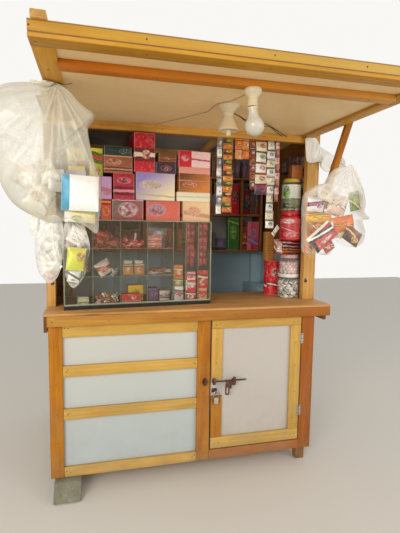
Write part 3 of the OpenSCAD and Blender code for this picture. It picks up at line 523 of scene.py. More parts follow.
@dataclass(frozen=True)
class MineralBlock:
    """Cast concrete with sand, pores, pale broken faces and earth at its foot."""

    name: str
    colour: Tone

    def build(self) -> bpy.types.Material:
        """Writes sandy concrete.

        Returns:
            The material.
        """
        w = NodeWriter(self.name)
        spot = w.place()
        sand = w.noise(spot, 190.0, 6.0, 0.7)
        cloud = w.ramp(w.noise(spot, 9.0, 5.0), 0.35, 0.7)
        pores = w.ramp(w.cells(spot, 70.0)["Distance"], 0.12, 0.2)
        colour = w.mix(cloud, self.colour, tone(158, 156, 136))
        colour = w.mix(w.ramp(sand, 0.4, 0.7, 0.0, 0.6), colour, tone(88, 82, 66))
        earth = w.ramp(w.noise(spot, 14.0, 4.0), 0.5, 0.66, 0.0, 0.6)
        earth = w.times(earth, w.ramp(w.parts(spot)[2], 0.07, 0.02))
        colour = w.mix(earth, colour, tone(112, 84, 56))
        # Painted shade: the pores are darkened as small hollows.
        colour = w.mix(w.ramp(pores, 0.0, 1.0, 0.6, 0.0), colour, tone(66, 60, 48))
        w.set(Base_Color=colour, Roughness=0.93)
        w.bump(w.plus(sand, pores), 0.005, 0.9)
        return w.material


@dataclass(frozen=True)
class PaintedBoard:
    """Brushed paint over boards, worn and chalky."""

    name: str
    colour: Tone
    worn: Tone

    def build(self) -> bpy.types.Material:
        """Writes paint with brush marks that run up the boards.

        Returns:
            The material.
        """
        w = NodeWriter(self.name)
        spot = w.place()
        brush = w.streaks(spot, (160.0, 160.0, 5.0), 5.0, 0.6)
        patch = w.ramp(w.noise(spot, 6.0, 6.0, 0.6), 0.45, 0.75)
        w.set(Base_Color=w.mix(w.times(patch, 0.5), self.colour, self.worn),
              Roughness=w.ramp(brush, 0.3, 0.7, 0.45, 0.7))
        w.bump(brush, 0.0006, 0.4)
        return w.material


@dataclass(frozen=True)
class DullSurface:
    """An even, dull surface of one colour."""

    name: str
    colour: Tone
    rough: float = 0.9

    def build(self) -> bpy.types.Material:
        """Writes the surface.

        Returns:
            The material.
        """
        w = NodeWriter(self.name)
        w.set(Base_Color=self.colour, Roughness=self.rough)
        return w.material


class Finish(Enum):
    """Every finish of the kiosk, by what wears it."""

    ORANGE_TIMBER = VarnishedTimber("orange_timber", tone(186, 122, 20), tone(142, 78, 6))
    # The fascia's right colour darkens it towards the right: painted shade.
    FASCIA_TIMBER = VarnishedTimber("fascia_timber", tone(198, 150, 66), tone(158, 98, 32), dust=0.0,
                                    right=tone(158, 88, 30))
    MIDDLE_TIMBER = VarnishedTimber("middle_timber", tone(190, 124, 34), tone(132, 70, 14),
                                    tone(158, 92, 26), rings=0.4, knots=1.5, mottle=0.7)
    RED_TIMBER = VarnishedTimber("red_timber", tone(174, 98, 32), tone(126, 62, 18), rings=0.4)
    PALE_TIMBER = VarnishedTimber("pale_timber", tone(210, 170, 86), tone(174, 128, 50), rings=0.62, dust=0.6)
    BROWN_TIMBER = VarnishedTimber("brown_timber", tone(154, 100, 52), tone(98, 56, 26), dust=0.5)
    # A dark brown for the ledges and boards on the inner right wall: painted shade.
    PAINTED_SHADE_TIMBER = VarnishedTimber("painted_shade_timber", tone(112, 78, 50), tone(70, 46, 28), dust=0.0)
    # The flap timbers' right colour lightens them towards the right: painted light.
    GOLD_TIMBER = VarnishedTimber("gold_timber", tone(186, 140, 44), tone(160, 110, 26), dust=0.0,
                                  mottle=0.6, right=tone(208, 172, 88))
    EDGE_TIMBER = VarnishedTimber("edge_timber", tone(210, 156, 52), tone(170, 112, 26), dust=0.0)
    # The flap rail's right colour lightens it towards the right: painted light.
    DEEP_TIMBER = VarnishedTimber("deep_timber", tone(212, 120, 4), tone(158, 76, 0), dust=0.0, mottle=0.3,
                                  right=tone(206, 152, 66))
    SHADE_TIMBER = VarnishedTimber("shade_timber", tone(224, 176, 100), tone(174, 122, 60), dust=0.0)
    WORN_TIMBER = VarnishedTimber("worn_timber", tone(206, 190, 162), tone(156, 138, 112),
                                  tone(150, 126, 100), dust=0.0)
    HEADER_TIMBER = VarnishedTimber("header_timber", tone(222, 168, 76), tone(176, 118, 44), dust=0.0)
    COUNTER_TIMBER = VarnishedTimber("counter_timber", tone(206, 158, 96), tone(158, 108, 58), dust=0.0,
                                     rough=0.5)
    # The cabinet sheet's lower colour is painted shade towards the bottom.
    CABINET_SHEET = FacedBoard("cabinet_sheet", tone(196, 196, 188), tone(150, 150, 148), 0.08, 0.2,
                               tone(178, 188, 189))
    DOOR_SHEET = FacedBoard("door_sheet_face", tone(190, 184, 176))
    # The ceiling sheet's warm cream is warmer than the sheet's own white: painted warm bounce light.
    CEILING_SHEET = FacedBoard("ceiling_sheet", tone(244, 216, 162), tone(204, 168, 110), 0.36, 0.0,
                               edge=tone(112, 72, 34))
    WALL_SHEET = FacedBoard("wall_sheet", tone(198, 196, 186), amount=0.3)
    ROOF_SHEET = FacedBoard("roof_sheet_grey", tone(168, 168, 164), tone(118, 104, 88), 0.7, 0.0,
                            edge=tone(150, 104, 52))
    # The lining's blue-grey is lighter than its own paint: painted light inside the kiosk.
    LINING = PaintedBoard("lining_paint", tone(156, 182, 192), tone(176, 190, 190))
    CONCRETE = MineralBlock("concrete_block", tone(124, 122, 102))
    HINGE = BareMetal("hinge_plate", tone(196, 190, 176), tone(126, 84, 52), 0.35)
    RUSTY = BareMetal("rusted_bolt", tone(108, 96, 88), tone(100, 60, 44), 0.82)
    NAIL = BareMetal("nail_head", tone(120, 108, 96), tone(96, 62, 42), 0.8)
    LOCK_BODY = BareMetal("lock_body", tone(206, 196, 168), tone(128, 90, 56), 0.3, 0.4)
    LOCK_SIDE = BareMetal("lock_side", tone(150, 104, 56), tone(96, 60, 34), 0.45, 0.4)
    LOCK_BOW = BareMetal("lock_bow", tone(188, 186, 180), tone(112, 78, 54), 0.3, 0.25)
    BASE_BLACK = MouldedPlastic("base_black", tone(24, 22, 18), 0.7, 0.1)
    PALE_EDGE = MouldedPlastic("pale_edge", tone(176, 172, 150), 0.5)
    CASE_GLASS = ClearPane("case_pane", tone(134, 120, 88), 0.115)
    # The glass edges' green-grey is partly their own tint and partly a painted highlight.
    GLASS_EDGE = ClearPane("pane_edge", tone(140, 148, 122), 0.75)
    HOLDER = MouldedPlastic("holder_ivory", tone(222, 206, 172), 0.3)
    BULB = MouldedPlastic("bulb_milk", tone(198, 193, 176), 0.18, 0.08)
    FLEX = MouldedPlastic("flex_brown", tone(58, 38, 26), 0.5)
    LEAD = MouldedPlastic("lead_grey", tone(168, 134, 92), 0.5)
    CARD = PrintedPack("printed_card")
    FOIL = PrintedPack("printed_foil", 0.28, 0.1, 0.003, 170.0, 0.6)
    # One film in two copies: FILM is painted whiter, painted sunlight, and FILM_SHADE greyer, painted shade,
    # for the big bag on the left and its upper tail.
    FILM = ThinFilm("bag_film", tone(244, 242, 234), 0.09)
    FILM_SHADE = ThinFilm("bag_film_shade", tone(220, 215, 197), 0.12, 0.82)
    JAR_CLEAR = ClearPane("jar_clear", tone(226, 226, 218), 0.15, 0.12)
    JAR_PINK = ClearPane("jar_pink", tone(222, 176, 180), 0.62, 0.15)
    JAR_RED = ClearPane("jar_red", tone(196, 36, 48), 0.85, 0.15)
    LID_YELLOW = MouldedPlastic("lid_yellow", tone(214, 186, 66))
    LID_RED = MouldedPlastic("lid_red", tone(200, 30, 44))
    LID_WHITE = MouldedPlastic("lid_white", tone(226, 222, 214))
    WICKER = PaintedBoard("woven_strip", tone(178, 122, 56), tone(120, 76, 34))
    STUDIO_FLOOR = DullSurface("studio_floor", tone(216, 212, 204))

    @cache
    def material(self) -> bpy.types.Material:
        """Builds the finish once and gives it again afterwards."""
        return self.value.build()


# Surfaces
@dataclass
class Surface:
    """Points, faces and point values of one surface before it is a mesh."""

    points: np.ndarray
    faces: list[Sequence[int]]
    values: dict[str, np.ndarray] = field(default_factory=dict)
    finish: Finish | None = None


def grid_faces(rows: int, cols: int, around: bool = False) -> list[Sequence[int]]:
    """Joins each point (i, j) of a grid to (i, j+1), (i+1, j+1) and (i+1, j).

    Args:
        rows: number of rows of points.
        cols: number of points in a row.
        around: whether a row closes on itself.

    Returns:
        The faces as lists of four point numbers.
    """
    i = np.arange(rows - 1)[:, None]
    j = np.arange(cols if around else cols - 1)[None, :]
    k = (j + 1) % cols
    return np.stack([i * cols + j, i * cols + k, (i + 1) * cols + k, (i + 1) * cols + j],
                    axis=-1).reshape(-1, 4).tolist()


def carried_faces(rows: int, cols: int) -> list[Sequence[int]]:
    """Gives the faces of a carried ring, with the two that close its ends."""
    ends = [list(range(cols))[::-1], list(range((rows - 1) * cols, rows * cols))]
    return grid_faces(rows, cols, True) + ends


def mean_length(steps: np.ndarray) -> float:
    """Gives the mean length of some steps."""
    return np.linalg.norm(steps, axis=-1).mean()


def rounded_ring(width: float, depth: float, radius: float, arc: int = 3,
                 side: int = 1) -> tuple[np.ndarray, np.ndarray]:
    """Works out a rectangle with round corners, from its front left corner.

    Each corner is a quarter circle of arc points, and each side has side - 1
    more points between two corners.

    Args:
        width: size along the first direction.
        depth: size along the second direction.
        radius: radius of the corners.
        arc: points on one corner.
        side: steps along one side.

    Returns:
        The ring's points (n, 2) about its middle, and for each point its
        share along its own side with the side's number.
    """
    half = np.array([width, depth]) / 2 - radius
    signs = np.array([[-1, -1], [1, -1], [1, 1], [-1, 1]])
    turn = np.linspace(0, math.pi / 2, arc)
    points, shares = [], []
    for k, sign in enumerate(signs):
        angle = math.pi + k * math.pi / 2 + turn
        corner = sign * half + radius * np.stack([np.cos(angle), np.sin(angle)], -1)
        points.append(corner)
        shares.append(np.stack([np.zeros(arc), np.full(arc, k)], -1))
        shares[-1][:arc // 2 + (arc % 2 == 0), :] = [1.0, (k - 1) % 4]
        if side > 1:
            last = np.array([math.cos(angle[-1]), math.sin(angle[-1])])
            following = signs[(k + 1) % 4] * half + radius * last
            t = np.arange(1, side)[:, None] / side
            points.append(corner[-1] * (1 - t) + following * t)
            shares.append(np.concatenate([t, np.full_like(t, k)], -1))
    return np.concatenate(points), np.concatenate(shares)


def box_corners(low: Sequence[float], high: Sequence[float],
                order: Sequence[int] = (2, 0, 1)) -> np.ndarray:
    """Gives a box's eight corners.

    Args:
        low: its low corner.
        high: its high corner.
        order: the axes that the places along, across and through it follow.

    Returns:
        The corners as [along][across][through][x, y, z].
    """
    low, high = np.asarray(low, float), np.asarray(high, float)
    unit = np.empty((2, 2, 2, 3))
    unit[..., list(order)] = np.moveaxis(np.indices((2, 2, 2)), 0, -1)
    return low + unit * (high - low)


def carried_block(corners: np.ndarray, radius: float, stations: int = 6, side: int = 1,
                  sway: float = 0.0, rng: np.random.Generator | None = None,
                  bulge: float = 0.0) -> tuple[np.ndarray, list[Sequence[int]], np.ndarray, np.ndarray]:
    """Carries a rounded rectangle from one end of a six-sided solid to the other.

    A point with shares u along, v across and w through the solid lies at the
    sum of its eight corners, each weighted by the product of the three shares.
    The ring shrinks by the radius at both ends, so every edge is round.

    Args:
        corners: the solid's corners, [along][across][through][x, y, z].
        radius: radius of its edges in metres.
        stations: rings between the two rounded ends.
        side: steps along each side of the ring.
        sway: how far an edge wanders inwards, in metres.
        rng: source of the wandering's phases.
        bulge: how far the middle of each side stands out, in metres.

    Returns:
        The points, the faces, each point's place along, across and through
        the solid in metres, and its share of the side, the height and the
        side's number.
    """
    length = mean_length(corners[1] - corners[0])
    width = mean_length(corners[:, 1] - corners[:, 0])
    depth = mean_length(corners[:, :, 1] - corners[:, :, 0])
    radius = min(radius, 0.3 * width, 0.3 * depth, 0.3 * length)
    ring, shares = rounded_ring(width, depth, radius, 3, side)
    inner = np.linspace(radius, length - radius, max(stations, 2))
    along = np.concatenate([[0.0, 0.3 * radius], inner, [length - 0.3 * radius, length]])
    inset = np.concatenate([[0.9 * radius, 0.3 * radius], np.zeros(len(inner)), [0.3 * radius, 0.9 * radius]])
    scale = 1 - 2 * inset[:, None] / np.array([width, depth])
    flat = ring[None] * scale[:, None]
    if sway and rng is not None:
        phase = rng.uniform(0, 2 * math.pi, (2, 2))
        waves = np.stack([np.sin(along * 7.0 + phase[0, k]) + np.sin(along * 17.0 + phase[1, k])
                          for k in (0, 1)], -1)
        flat = flat - np.sign(flat) * (sway * (waves * 0.25 + 0.5))[:, None, :] * np.array([1.0, 0.25])
    if bulge:
        swell = np.sin(np.pi * np.clip(along / length, 0, 1))[:, None] * np.sin(np.pi * shares[:, 0])[None]
        push = np.where(np.isin(shares[:, 1], (0, 2))[:, None], [0.0, 1.0], [1.0, 0.0])
        flat = flat + np.sign(ring)[None] * push[None] * (bulge * swell)[..., None]
    u = np.broadcast_to((along / length)[:, None], flat.shape[:2])
    v, w = flat[..., 0] / width + 0.5, flat[..., 1] / depth + 0.5
    weight = [np.stack([1 - s, s], -1) for s in (u, v, w)]
    points = np.einsum("mni,mnj,mnk,ijkx->mnx", *weight, corners)
    place = np.stack([u * length, flat[..., 0], flat[..., 1]], -1)
    shares = np.broadcast_to(shares, (len(along), *shares.shape))
    face = np.stack([shares[..., 0], u, shares[..., 1]], -1)
    return points.reshape(-1, 3), carried_faces(*flat.shape[:2]), place.reshape(-1, 3), face.reshape(-1, 3)


def lathe(profile: Sequence[Sequence[float]], sides: int = 48, ribs: int = 0,
          rib: float = 0.0) -> tuple[np.ndarray, list[Sequence[int]], np.ndarray]:
    """Turns a profile about the Z axis.

    A point at height z and radius r goes to (r cos a, r sin a, z) for each
    angle a, and r swells by rib times a cosine of ribs turns.

    Args:
        profile: (radius, height) pairs from one end to the other, in metres.
        sides: number of angles.
        ribs: number of ribs round it.
        rib: height of a rib.

    Returns:
        The points, the faces, and each point's share round and up.
    """
    radius, height = np.asarray(profile, float).T[..., None]
    angle = np.arange(sides) * 2 * math.pi / sides
    r = radius + (rib * np.cos(ribs * angle))[None] * (radius > 0.004)
    points = np.stack([r * np.cos(angle), r * np.sin(angle), np.broadcast_to(height, r.shape)], -1)
    up = (height - height.min()) / max(np.ptp(height), 1e-9)
    share = np.stack([np.broadcast_to(angle / (2 * math.pi), r.shape), np.broadcast_to(up, r.shape)], -1)
    return points.reshape(-1, 3), carried_faces(*r.shape), share.reshape(-1, 2)


def smooth_route(points: np.ndarray, steps: int = 6) -> np.ndarray:
    """Draws a curve through points.

    Between two points b and c it is a cubic, whose slope at each of them is
    half the way between that point's two neighbours.

    Args:
        points: the points (n, 3).
        steps: parts that each stretch is cut into.

    Returns:
        The curve's points.
    """
    p = np.asarray(points, float)
    pad = np.concatenate([p[:1], p, p[-1:]])
    a, b, c, d = pad[:-3, None], pad[1:-2, None], pad[2:-1, None], pad[3:, None]
    t = (np.arange(steps) / steps)[None, :, None]
    curve = b + t * (c - a) / 2 + t ** 2 * (2 * a - 5 * b + 4 * c - d) / 2 \
        + t ** 3 * (3 * b - a - 3 * c + d) / 2
    return np.concatenate([curve.reshape(-1, 3), p[-1:]])


def tube(route: np.ndarray, radius: float, sides: int = 10, finish: Finish | None = None) -> Surface:
    """Carries a circle along a route, upright to its direction at each point.

    A point at angle a lies at the route plus the radius times cos a along the
    level cross direction and sin a along the direction upright to both.

    Args:
        route: the route's points in metres.
        radius: the circle's radius in metres.
        sides: points round the circle.
        finish: its own finish.

    Returns:
        The tube.
    """
    d = np.gradient(route, axis=0)
    d /= np.linalg.norm(d, axis=1, keepdims=True)
    up = np.where(np.abs(d[:, 2:3]) > 0.92, [[1.0, 0.0, 0.0]], [[0.0, 0.0, 1.0]])
    s = np.cross(d, up)
    s /= np.linalg.norm(s, axis=1, keepdims=True)
    n = np.cross(s, d)
    angle = (np.arange(sides) * 2 * math.pi / sides)[None, :, None]
    points = route[:, None] + radius * (np.cos(angle) * s[:, None] + np.sin(angle) * n[:, None])
    return Surface(points.reshape(-1, 3), carried_faces(len(route), sides), {}, finish)


def pillow(width: float, height: float, depth: float, crimp: float, rng: np.random.Generator,
           cols: int = 13, rows: int = 15) -> tuple[np.ndarray, list[Sequence[int]], np.ndarray]:
    """Works out a sealed packet, flat at its crimped ends and full between.

    At shares u across and v up, each skin stands off the middle by half the
    depth times the square root of 4u(1-u) and a power of the height's share
    between the crimps, plus small waves that grow towards the seals.

    Args:
        width: size across.
        height: size up.
        depth: fullness of both skins together.
        crimp: height of each flat end.
        rng: source of the waves.
        cols: points across.
        rows: points up.

    Returns:
        The points about the packet's middle (x across, y through, z up), the
        faces, and each point's shares with the side's number.
    """
    u, v = np.meshgrid(np.linspace(0, 1, cols), np.linspace(0, 1, rows))
    inner = np.clip((v * height - crimp) / max(height - 2 * crimp, 1e-6), 0, 1)
    full = np.sqrt(np.clip(4 * u * (1 - u), 0, 1)) * np.clip(4 * inner * (1 - inner), 0, 1) ** 0.4
    phase = rng.uniform(0, 6.28, 4)
    wave = 0.10 * np.sin(u * 17 + phase[0]) * (1 - full) + 0.12 * np.sin(v * 9 + u * 5 + phase[1])
    skin = depth / 2 * full * (1 + wave)
    bend = 0.12 * depth * np.sin(v * 3.1 + phase[2]) * np.sin(u * 3.1 + phase[3])
    x = (u - 0.5) * width * (1 - 0.06 * full)
    z = (v - 0.5) * height
    front = np.stack([x, bend - skin - 0.0002, z], -1)
    back = np.stack([x, bend + skin + 0.0002, z], -1)
    n = rows * cols
    faces = grid_faces(rows, cols)
    faces = faces + [[q + n for q in f[::-1]] for f in faces]
    rim = np.concatenate([np.arange(cols), np.arange(1, rows) * cols + cols - 1,
                          (rows - 1) * cols + np.arange(cols - 2, -1, -1),
                          np.arange(rows - 2, 0, -1) * cols])
    following = np.roll(rim, -1)
    faces += np.stack([following, rim, rim + n, following + n], -1).tolist()
    share = np.stack([u, v, np.zeros_like(u)], -1).reshape(-1, 3)
    return np.concatenate([front.reshape(-1, 3), back.reshape(-1, 3)]), faces, np.concatenate([share, share])


def turned(points: np.ndarray, angle: float, axis: str = "Z") -> np.ndarray:
    """Turns points about an axis through the origin by an angle in radians."""
    return points @ np.array(Matrix.Rotation(angle, 3, axis)).T


def front_disc(profile: Sequence[Sequence[float]], spot: Sequence[float], sides: int) -> Surface:
    """Turns a profile into a disc that looks to the front.

    Args:
        profile: (radius, height off the face) pairs in millimetres.
        spot: its place in the source's frame.
        sides: number of angles.

    Returns:
        The disc.
    """
    points, faces, _ = lathe(np.array(profile) / 1000, sides)
    return Surface(turned(points, math.pi / 2, "X") + at(spot), faces)


def islands(node: bpy.types.Object) -> list[np.ndarray]:
    """Splits a CAD node's copy into its solids.

    Points closer than a hundredth of a millimetre are one point, and a solid
    is a set of points that faces join: each point takes the smallest number
    among its face's points until nothing changes.

    Args:
        node: the node's object.

    Returns:
        The points of each solid.
    """
    mesh = node.data
    co = np.empty(len(mesh.vertices) * 3)
    mesh.vertices.foreach_get("co", co)
    co = co.reshape(-1, 3)
    tri = np.array([p.vertices[:] for p in mesh.polygons])
    _, first, same = np.unique(np.round(co * 1e5).astype(np.int64), axis=0, return_index=True,
                               return_inverse=True)
    co, tri = co[first], same.reshape(-1)[tri]
    label, before = np.arange(len(co)), None
    while before is None or (label != before).any():
        before = label.copy()
        low = label[tri].min(axis=1)
        for corner in tri.T:
            np.minimum.at(label, corner, low)
    return [co[label == k] for k in np.unique(label)]


def block_corners(points: np.ndarray) -> np.ndarray:
    """Orders the eight corners of a solid that was cut from one X to another.

    The four places in Y and Z are put in a ring about their middle. Of the
    three directions, the longest becomes the length, then the width.

    Args:
        points: the solid's eight points.

    Returns:
        The corners as [along][across][through][x, y, z].
    """
    xs = points[:, 0]
    low = points[xs < xs.mean()]
    mid = low[:, 1:].mean(axis=0)
    order = np.argsort(np.arctan2(low[:, 2] - mid[1], low[:, 1] - mid[0]))
    p = low[order]
    sides = np.linalg.norm(np.roll(p, -1, axis=0) - p, axis=-1)
    if sides[0] + sides[2] < sides[1] + sides[3]:
        p = np.roll(p, -1, axis=0)
    quad = np.array([[p[0], p[3]], [p[1], p[2]]])
    cube = np.stack([quad, quad + np.array([np.ptp(xs), 0, 0])], axis=0)
    sizes = [mean_length(cube[1] - cube[0]), mean_length(cube[:, 1] - cube[:, 0]),
             mean_length(cube[:, :, 1] - cube[:, :, 0])]
    return np.transpose(cube, (*np.argsort(sizes)[::-1], 3))


@dataclass(frozen=True)
class Ink:
    """Colours and layout of one print.

    The band is its height, half width and slant, the oval its middle and half
    sizes, and the look the top strip's height, the ground's fading and the
    share at the left that takes the second colour.
    """

    ground: Tone
    second: Tone
    patch: Tone
    band: tuple[float, float, float] = (0.3, 0.12, 0.0)
    oval: tuple[float, float, float, float] = (0.5, 0.55, 0.28, 0.2)
    look: tuple[float, float, float] = (0.0, 0.4, 0.0)

    def values(self, face: np.ndarray) -> dict[str, np.ndarray]:
        """Spreads the print over a surface's points.

        Args:
            face: each point's share across and up its side, and the side's number.

        Returns:
            The values that PrintedPack reads.
        """
        layout = {"ink_a": self.ground, "ink_b": self.second, "ink_c": self.patch, "oval": self.oval,
                  "band": self.band, "look": self.look}
        return {"face": face} | {k: np.tile(np.array(v, float), (len(face), 1)) for k, v in layout.items()}


class PieceMaker:
    """Turns surfaces into one Blender piece and fits it to the frame."""

    def __init__(self, frame: dict) -> None:
        """Keeps the loaded frame and counts from nothing."""
        self.frame = frame
        self.count = 0

    def make(self, name: str, surfaces: Iterable[Surface], body: str, slot: str,
             finish: Finish | None = None, replaces: Sequence[str] = (),
             smooth: float = 0.7) -> bpy.types.Object:
        """Makes one piece from surfaces.

        Args:
            name: the piece's name.
            surfaces: what it is made of.
            body: the CAD body that it rides on.
            slot: the record's material slot; not used.
            finish: finish of every surface that names none.
            replaces: CAD nodes that it stands for.
            smooth: edges sharper than this angle stay sharp, in radians.

        Returns:
            The piece.
        """
        surfaces = list(surfaces)
        start = np.cumsum([0] + [len(s.points) for s in surfaces])
        points = np.concatenate([s.points for s in surfaces])
        faces = [[i + int(o) for i in f] for s, o in zip(surfaces, start) for f in s.faces]
        mesh = bpy.data.meshes.new(name)
        mesh.from_pydata(points.tolist(), [], faces)
        worn = [s.finish or finish for s in surfaces]
        kinds = list(dict.fromkeys(worn))
        for kind in kinds:
            mesh.materials.append(kind.material())
        index = [kinds.index(own) for s, own in zip(surfaces, worn) for _ in s.faces]
        mesh.polygons.foreach_set("material_index", index)
        for key in sorted({k for s in surfaces for k in s.values}):
            self.spread(mesh, key, surfaces)
        edit = bmesh.new()
        edit.from_mesh(mesh)
        bmesh.ops.recalc_face_normals(edit, faces=edit.faces)
        edit.to_mesh(mesh)
        edit.free()
        mesh.polygons.foreach_set("use_smooth", [True] * len(mesh.polygons))
        mesh.set_sharp_from_angle(angle=smooth)
        mesh.update()
        piece = bpy.data.objects.new(name, mesh)
        bpy.context.scene.collection.objects.link(piece)
        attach(piece, body)
        if replaces:
            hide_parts(*replaces)
        self.count += 1
        LOG.info("%s: %d faces on %s", name, len(faces), body)
        return piece

    def spread(self, mesh: bpy.types.Mesh, key: str, surfaces: Sequence[Surface]) -> None:
        """Writes one kind of point value to a mesh, with 0 where a surface has none.

        Args:
            mesh: the mesh.
            key: the value's name.
            surfaces: the surfaces that the mesh is made of, in order.
        """
        known = next(s.values[key] for s in surfaces if key in s.values)
        size = 1 if known.ndim == 1 else known.shape[1]
        kind, word = {1: ("FLOAT", "value"), 3: ("FLOAT_VECTOR", "vector"), 4: ("FLOAT_COLOR", "color")}[size]
        data = np.concatenate([s.values.get(key, np.zeros((len(s.points), size))).reshape(-1, size)
                               for s in surfaces])
        mesh.attributes.new(key, kind, "POINT").data.foreach_set(word, data.astype(np.float32).ravel())

    def dress(self, finish: Finish, *nodes: str) -> None:
        """Gives CAD nodes that stay their finish.

        Args:
            finish: the finish.
            nodes: the nodes' names.
        """
        for node in nodes:
            data = self.frame["nodes"][node].data
            data.materials.clear()
            data.materials.append(finish.material())
            self.count += 1
            LOG.info("%s wears %s", node, finish.name)

    def solids(self, node: str) -> list[np.ndarray]:
        """Gives the points of each solid in a CAD node."""
        return islands(self.frame["nodes"][node])


# Parts of the kiosk
@dataclass
class Timberwork:
    """All boards and posts, each rebuilt from its solid with its own grain."""

    maker: PieceMaker
    edge: float = 0.0022
    sway: float = 0.0009
    nail_radius: float = 0.0032
    hand_error: float = 3.0
    seed: int = 11

    # Name, body, slot, finish, CAD nodes, and finishes of single boards from left to right.
    SETS = (
        ("stiles_front", "kiosk", "varnished_wood", Finish.RED_TIMBER, ["front_stiles"],
         {0: Finish.ORANGE_TIMBER, 1: Finish.MIDDLE_TIMBER}),
        ("rails_front", "kiosk", "light_wood", Finish.PALE_TIMBER, ["front_rails"], {}),
        ("sill_of_door", "kiosk", "brown_wood", Finish.RED_TIMBER, ["door_sill"], {}),
        ("legs", "kiosk", "brown_wood", Finish.BROWN_TIMBER, ["corner_posts"], {}),
        ("floor_timbers", "kiosk", "light_wood", Finish.SHADE_TIMBER, ["floor_frame", "floor_boards"], {}),
        ("wall_boards", "kiosk", "light_wood", Finish.PALE_TIMBER, ["wall_trims"], {}),
        ("bearers", "kiosk", "brown_wood", Finish.BROWN_TIMBER, ["side_bearers"], {}),
        ("counter", "kiosk", "varnished_wood", Finish.COUNTER_TIMBER, ["counter_board"], {}),
        ("fascia", "kiosk", "varnished_wood", Finish.FASCIA_TIMBER, ["counter_fascia"], {}),
        ("posts", "kiosk", "varnished_wood", Finish.SHADE_TIMBER, ["upper_posts"], {}),
        ("header_board", "kiosk", "varnished_wood", Finish.HEADER_TIMBER, ["header"], {}),
        ("wall_lining_boards", "kiosk", "light_wood", Finish.BROWN_TIMBER, ["upper_side_panels"], {}),
        ("rafters", "kiosk", "light_wood", Finish.SHADE_TIMBER, ["roof_frame"], {}),
        ("flap_timbers", "kiosk", "varnished_wood", Finish.GOLD_TIMBER, ["flap_frame"], {}),
        ("flap_edge_boards", "kiosk", "light_wood", Finish.EDGE_TIMBER, ["flap_trims"], {}),
        ("flap_rail", "kiosk", "varnished_wood", Finish.DEEP_TIMBER, ["flap_cross_rail"], {}),
        ("flap_top_battens", "kiosk", "light_wood", Finish.SHADE_TIMBER, ["flap_battens"], {}),
        ("flap_props", "kiosk", "varnished_wood", Finish.EDGE_TIMBER, ["struts"],
         {0: Finish.WORN_TIMBER, 1: Finish.MIDDLE_TIMBER}),
        ("door_top_and_bottom", "door", "light_wood", Finish.PALE_TIMBER, ["door_rails"], {}),
        ("door_sides", "door", "light_wood", Finish.PALE_TIMBER, ["door_stiles"],
         {0: Finish.ORANGE_TIMBER}),
        ("pigeonholes", "kiosk", "brown_wood", Finish.BROWN_TIMBER, ["shelf_unit"], {}),
    )

    def board(self, points: np.ndarray, rng: np.random.Generator, finish: Finish | None = None) -> Surface:
        """Rebuilds one board with round edges, its grain, tint and end grain.

        Args:
            points: the board's eight corners.
            rng: source of its wandering edges, its place in the grain and its tint.
            finish: its own finish.

        Returns:
            The board.
        """
        corners = block_corners(points)
        stations = max(4, int(mean_length(corners[1] - corners[0]) / 0.12))
        pts, faces, place, face = carried_block(corners, self.edge, stations, 2, self.sway, rng)
        shift = rng.uniform(-1, 1, 3) * np.array([20.0, 0.22, 0.22]) + np.array([0, 0.0, 0.16])
        end = ((face[:, 1] < 1e-6) | (face[:, 1] > 1 - 1e-6)).astype(float)
        tint = np.full(len(pts), rng.normal(1.0, 0.055))
        return Surface(pts, faces, {"grain": place + shift, "tint": tint, "end": end}, finish)

    def ledges(self) -> None:
        """Adds the ledges and the boards behind them, on the inner right wall, in a dark brown that is
        painted shade.
        """
        rng = np.random.default_rng(self.seed)
        boxes = [((1642, 236, z), (1692, 616, z + 12)) for z in LEDGES]
        boxes += [((1692.5, y, 1324), (1696.5, y + 208, 2064)) for y in (236, 446, 656, 866)]
        made = [self.board(at(box_corners(low, high)).reshape(-1, 3), rng) for low, high in boxes]
        self.maker.make("side_ledges", made, "kiosk", "brown_wood", Finish.PAINTED_SHADE_TIMBER)

    def nail(self, spot: np.ndarray, outward: Sequence[float], radius: float) -> Surface:
        """Works out one flat nail head, a low dome that stands off a board.

        Args:
            spot: its place in metres.
            outward: the direction that it looks in.
            radius: its radius in metres.

        Returns:
            The nail's head and the start of its shank.
        """
        profile = [(0.0002, 0.0011), (radius * 0.6, 0.001), (radius * 0.95, 0.0006), (radius, 0.0),
                   (radius * 0.5, -0.004), (0.0002, -0.006)]
        pts, faces, _ = lathe(profile, 10)
        turn = Vector((0, 0, 1)).rotation_difference(Vector(outward)).to_matrix()
        return Surface(pts @ np.array(turn).T + spot, faces)

    def nails(self) -> None:
        """Nails the boards: two at each end of a rail, one row up each stile."""
        rng = np.random.default_rng(5)
        made: dict[str, list[Surface]] = {"kiosk": [], "door": []}

        def row(xs: Sequence[float], ys: Sequence[float], zs: Sequence[float], outward: Sequence[float],
                wide: float = 0.0, high: float = 0.0, lift: float = 0.0, body: str = "kiosk") -> None:
            """Adds nails at all places of a grid, each with a hand's error.

            Args:
                xs: places across.
                ys: places through.
                zs: heights.
                outward: the direction that they look in.
                wide: spread of the error across.
                high: spread of the error in height.
                lift: range of one more error in height.
                body: the body that they ride on.
            """
            for z in zs:
                for y in ys:
                    for x in xs:
                        up = z + (rng.uniform(-lift, lift) if lift else 0.0)
                        across = x + (rng.normal(0, wide) if wide else 0.0)
                        up += rng.normal(0, high) if high else 0.0
                        made[body].append(self.nail(at([across, y, up]), outward, self.nail_radius))

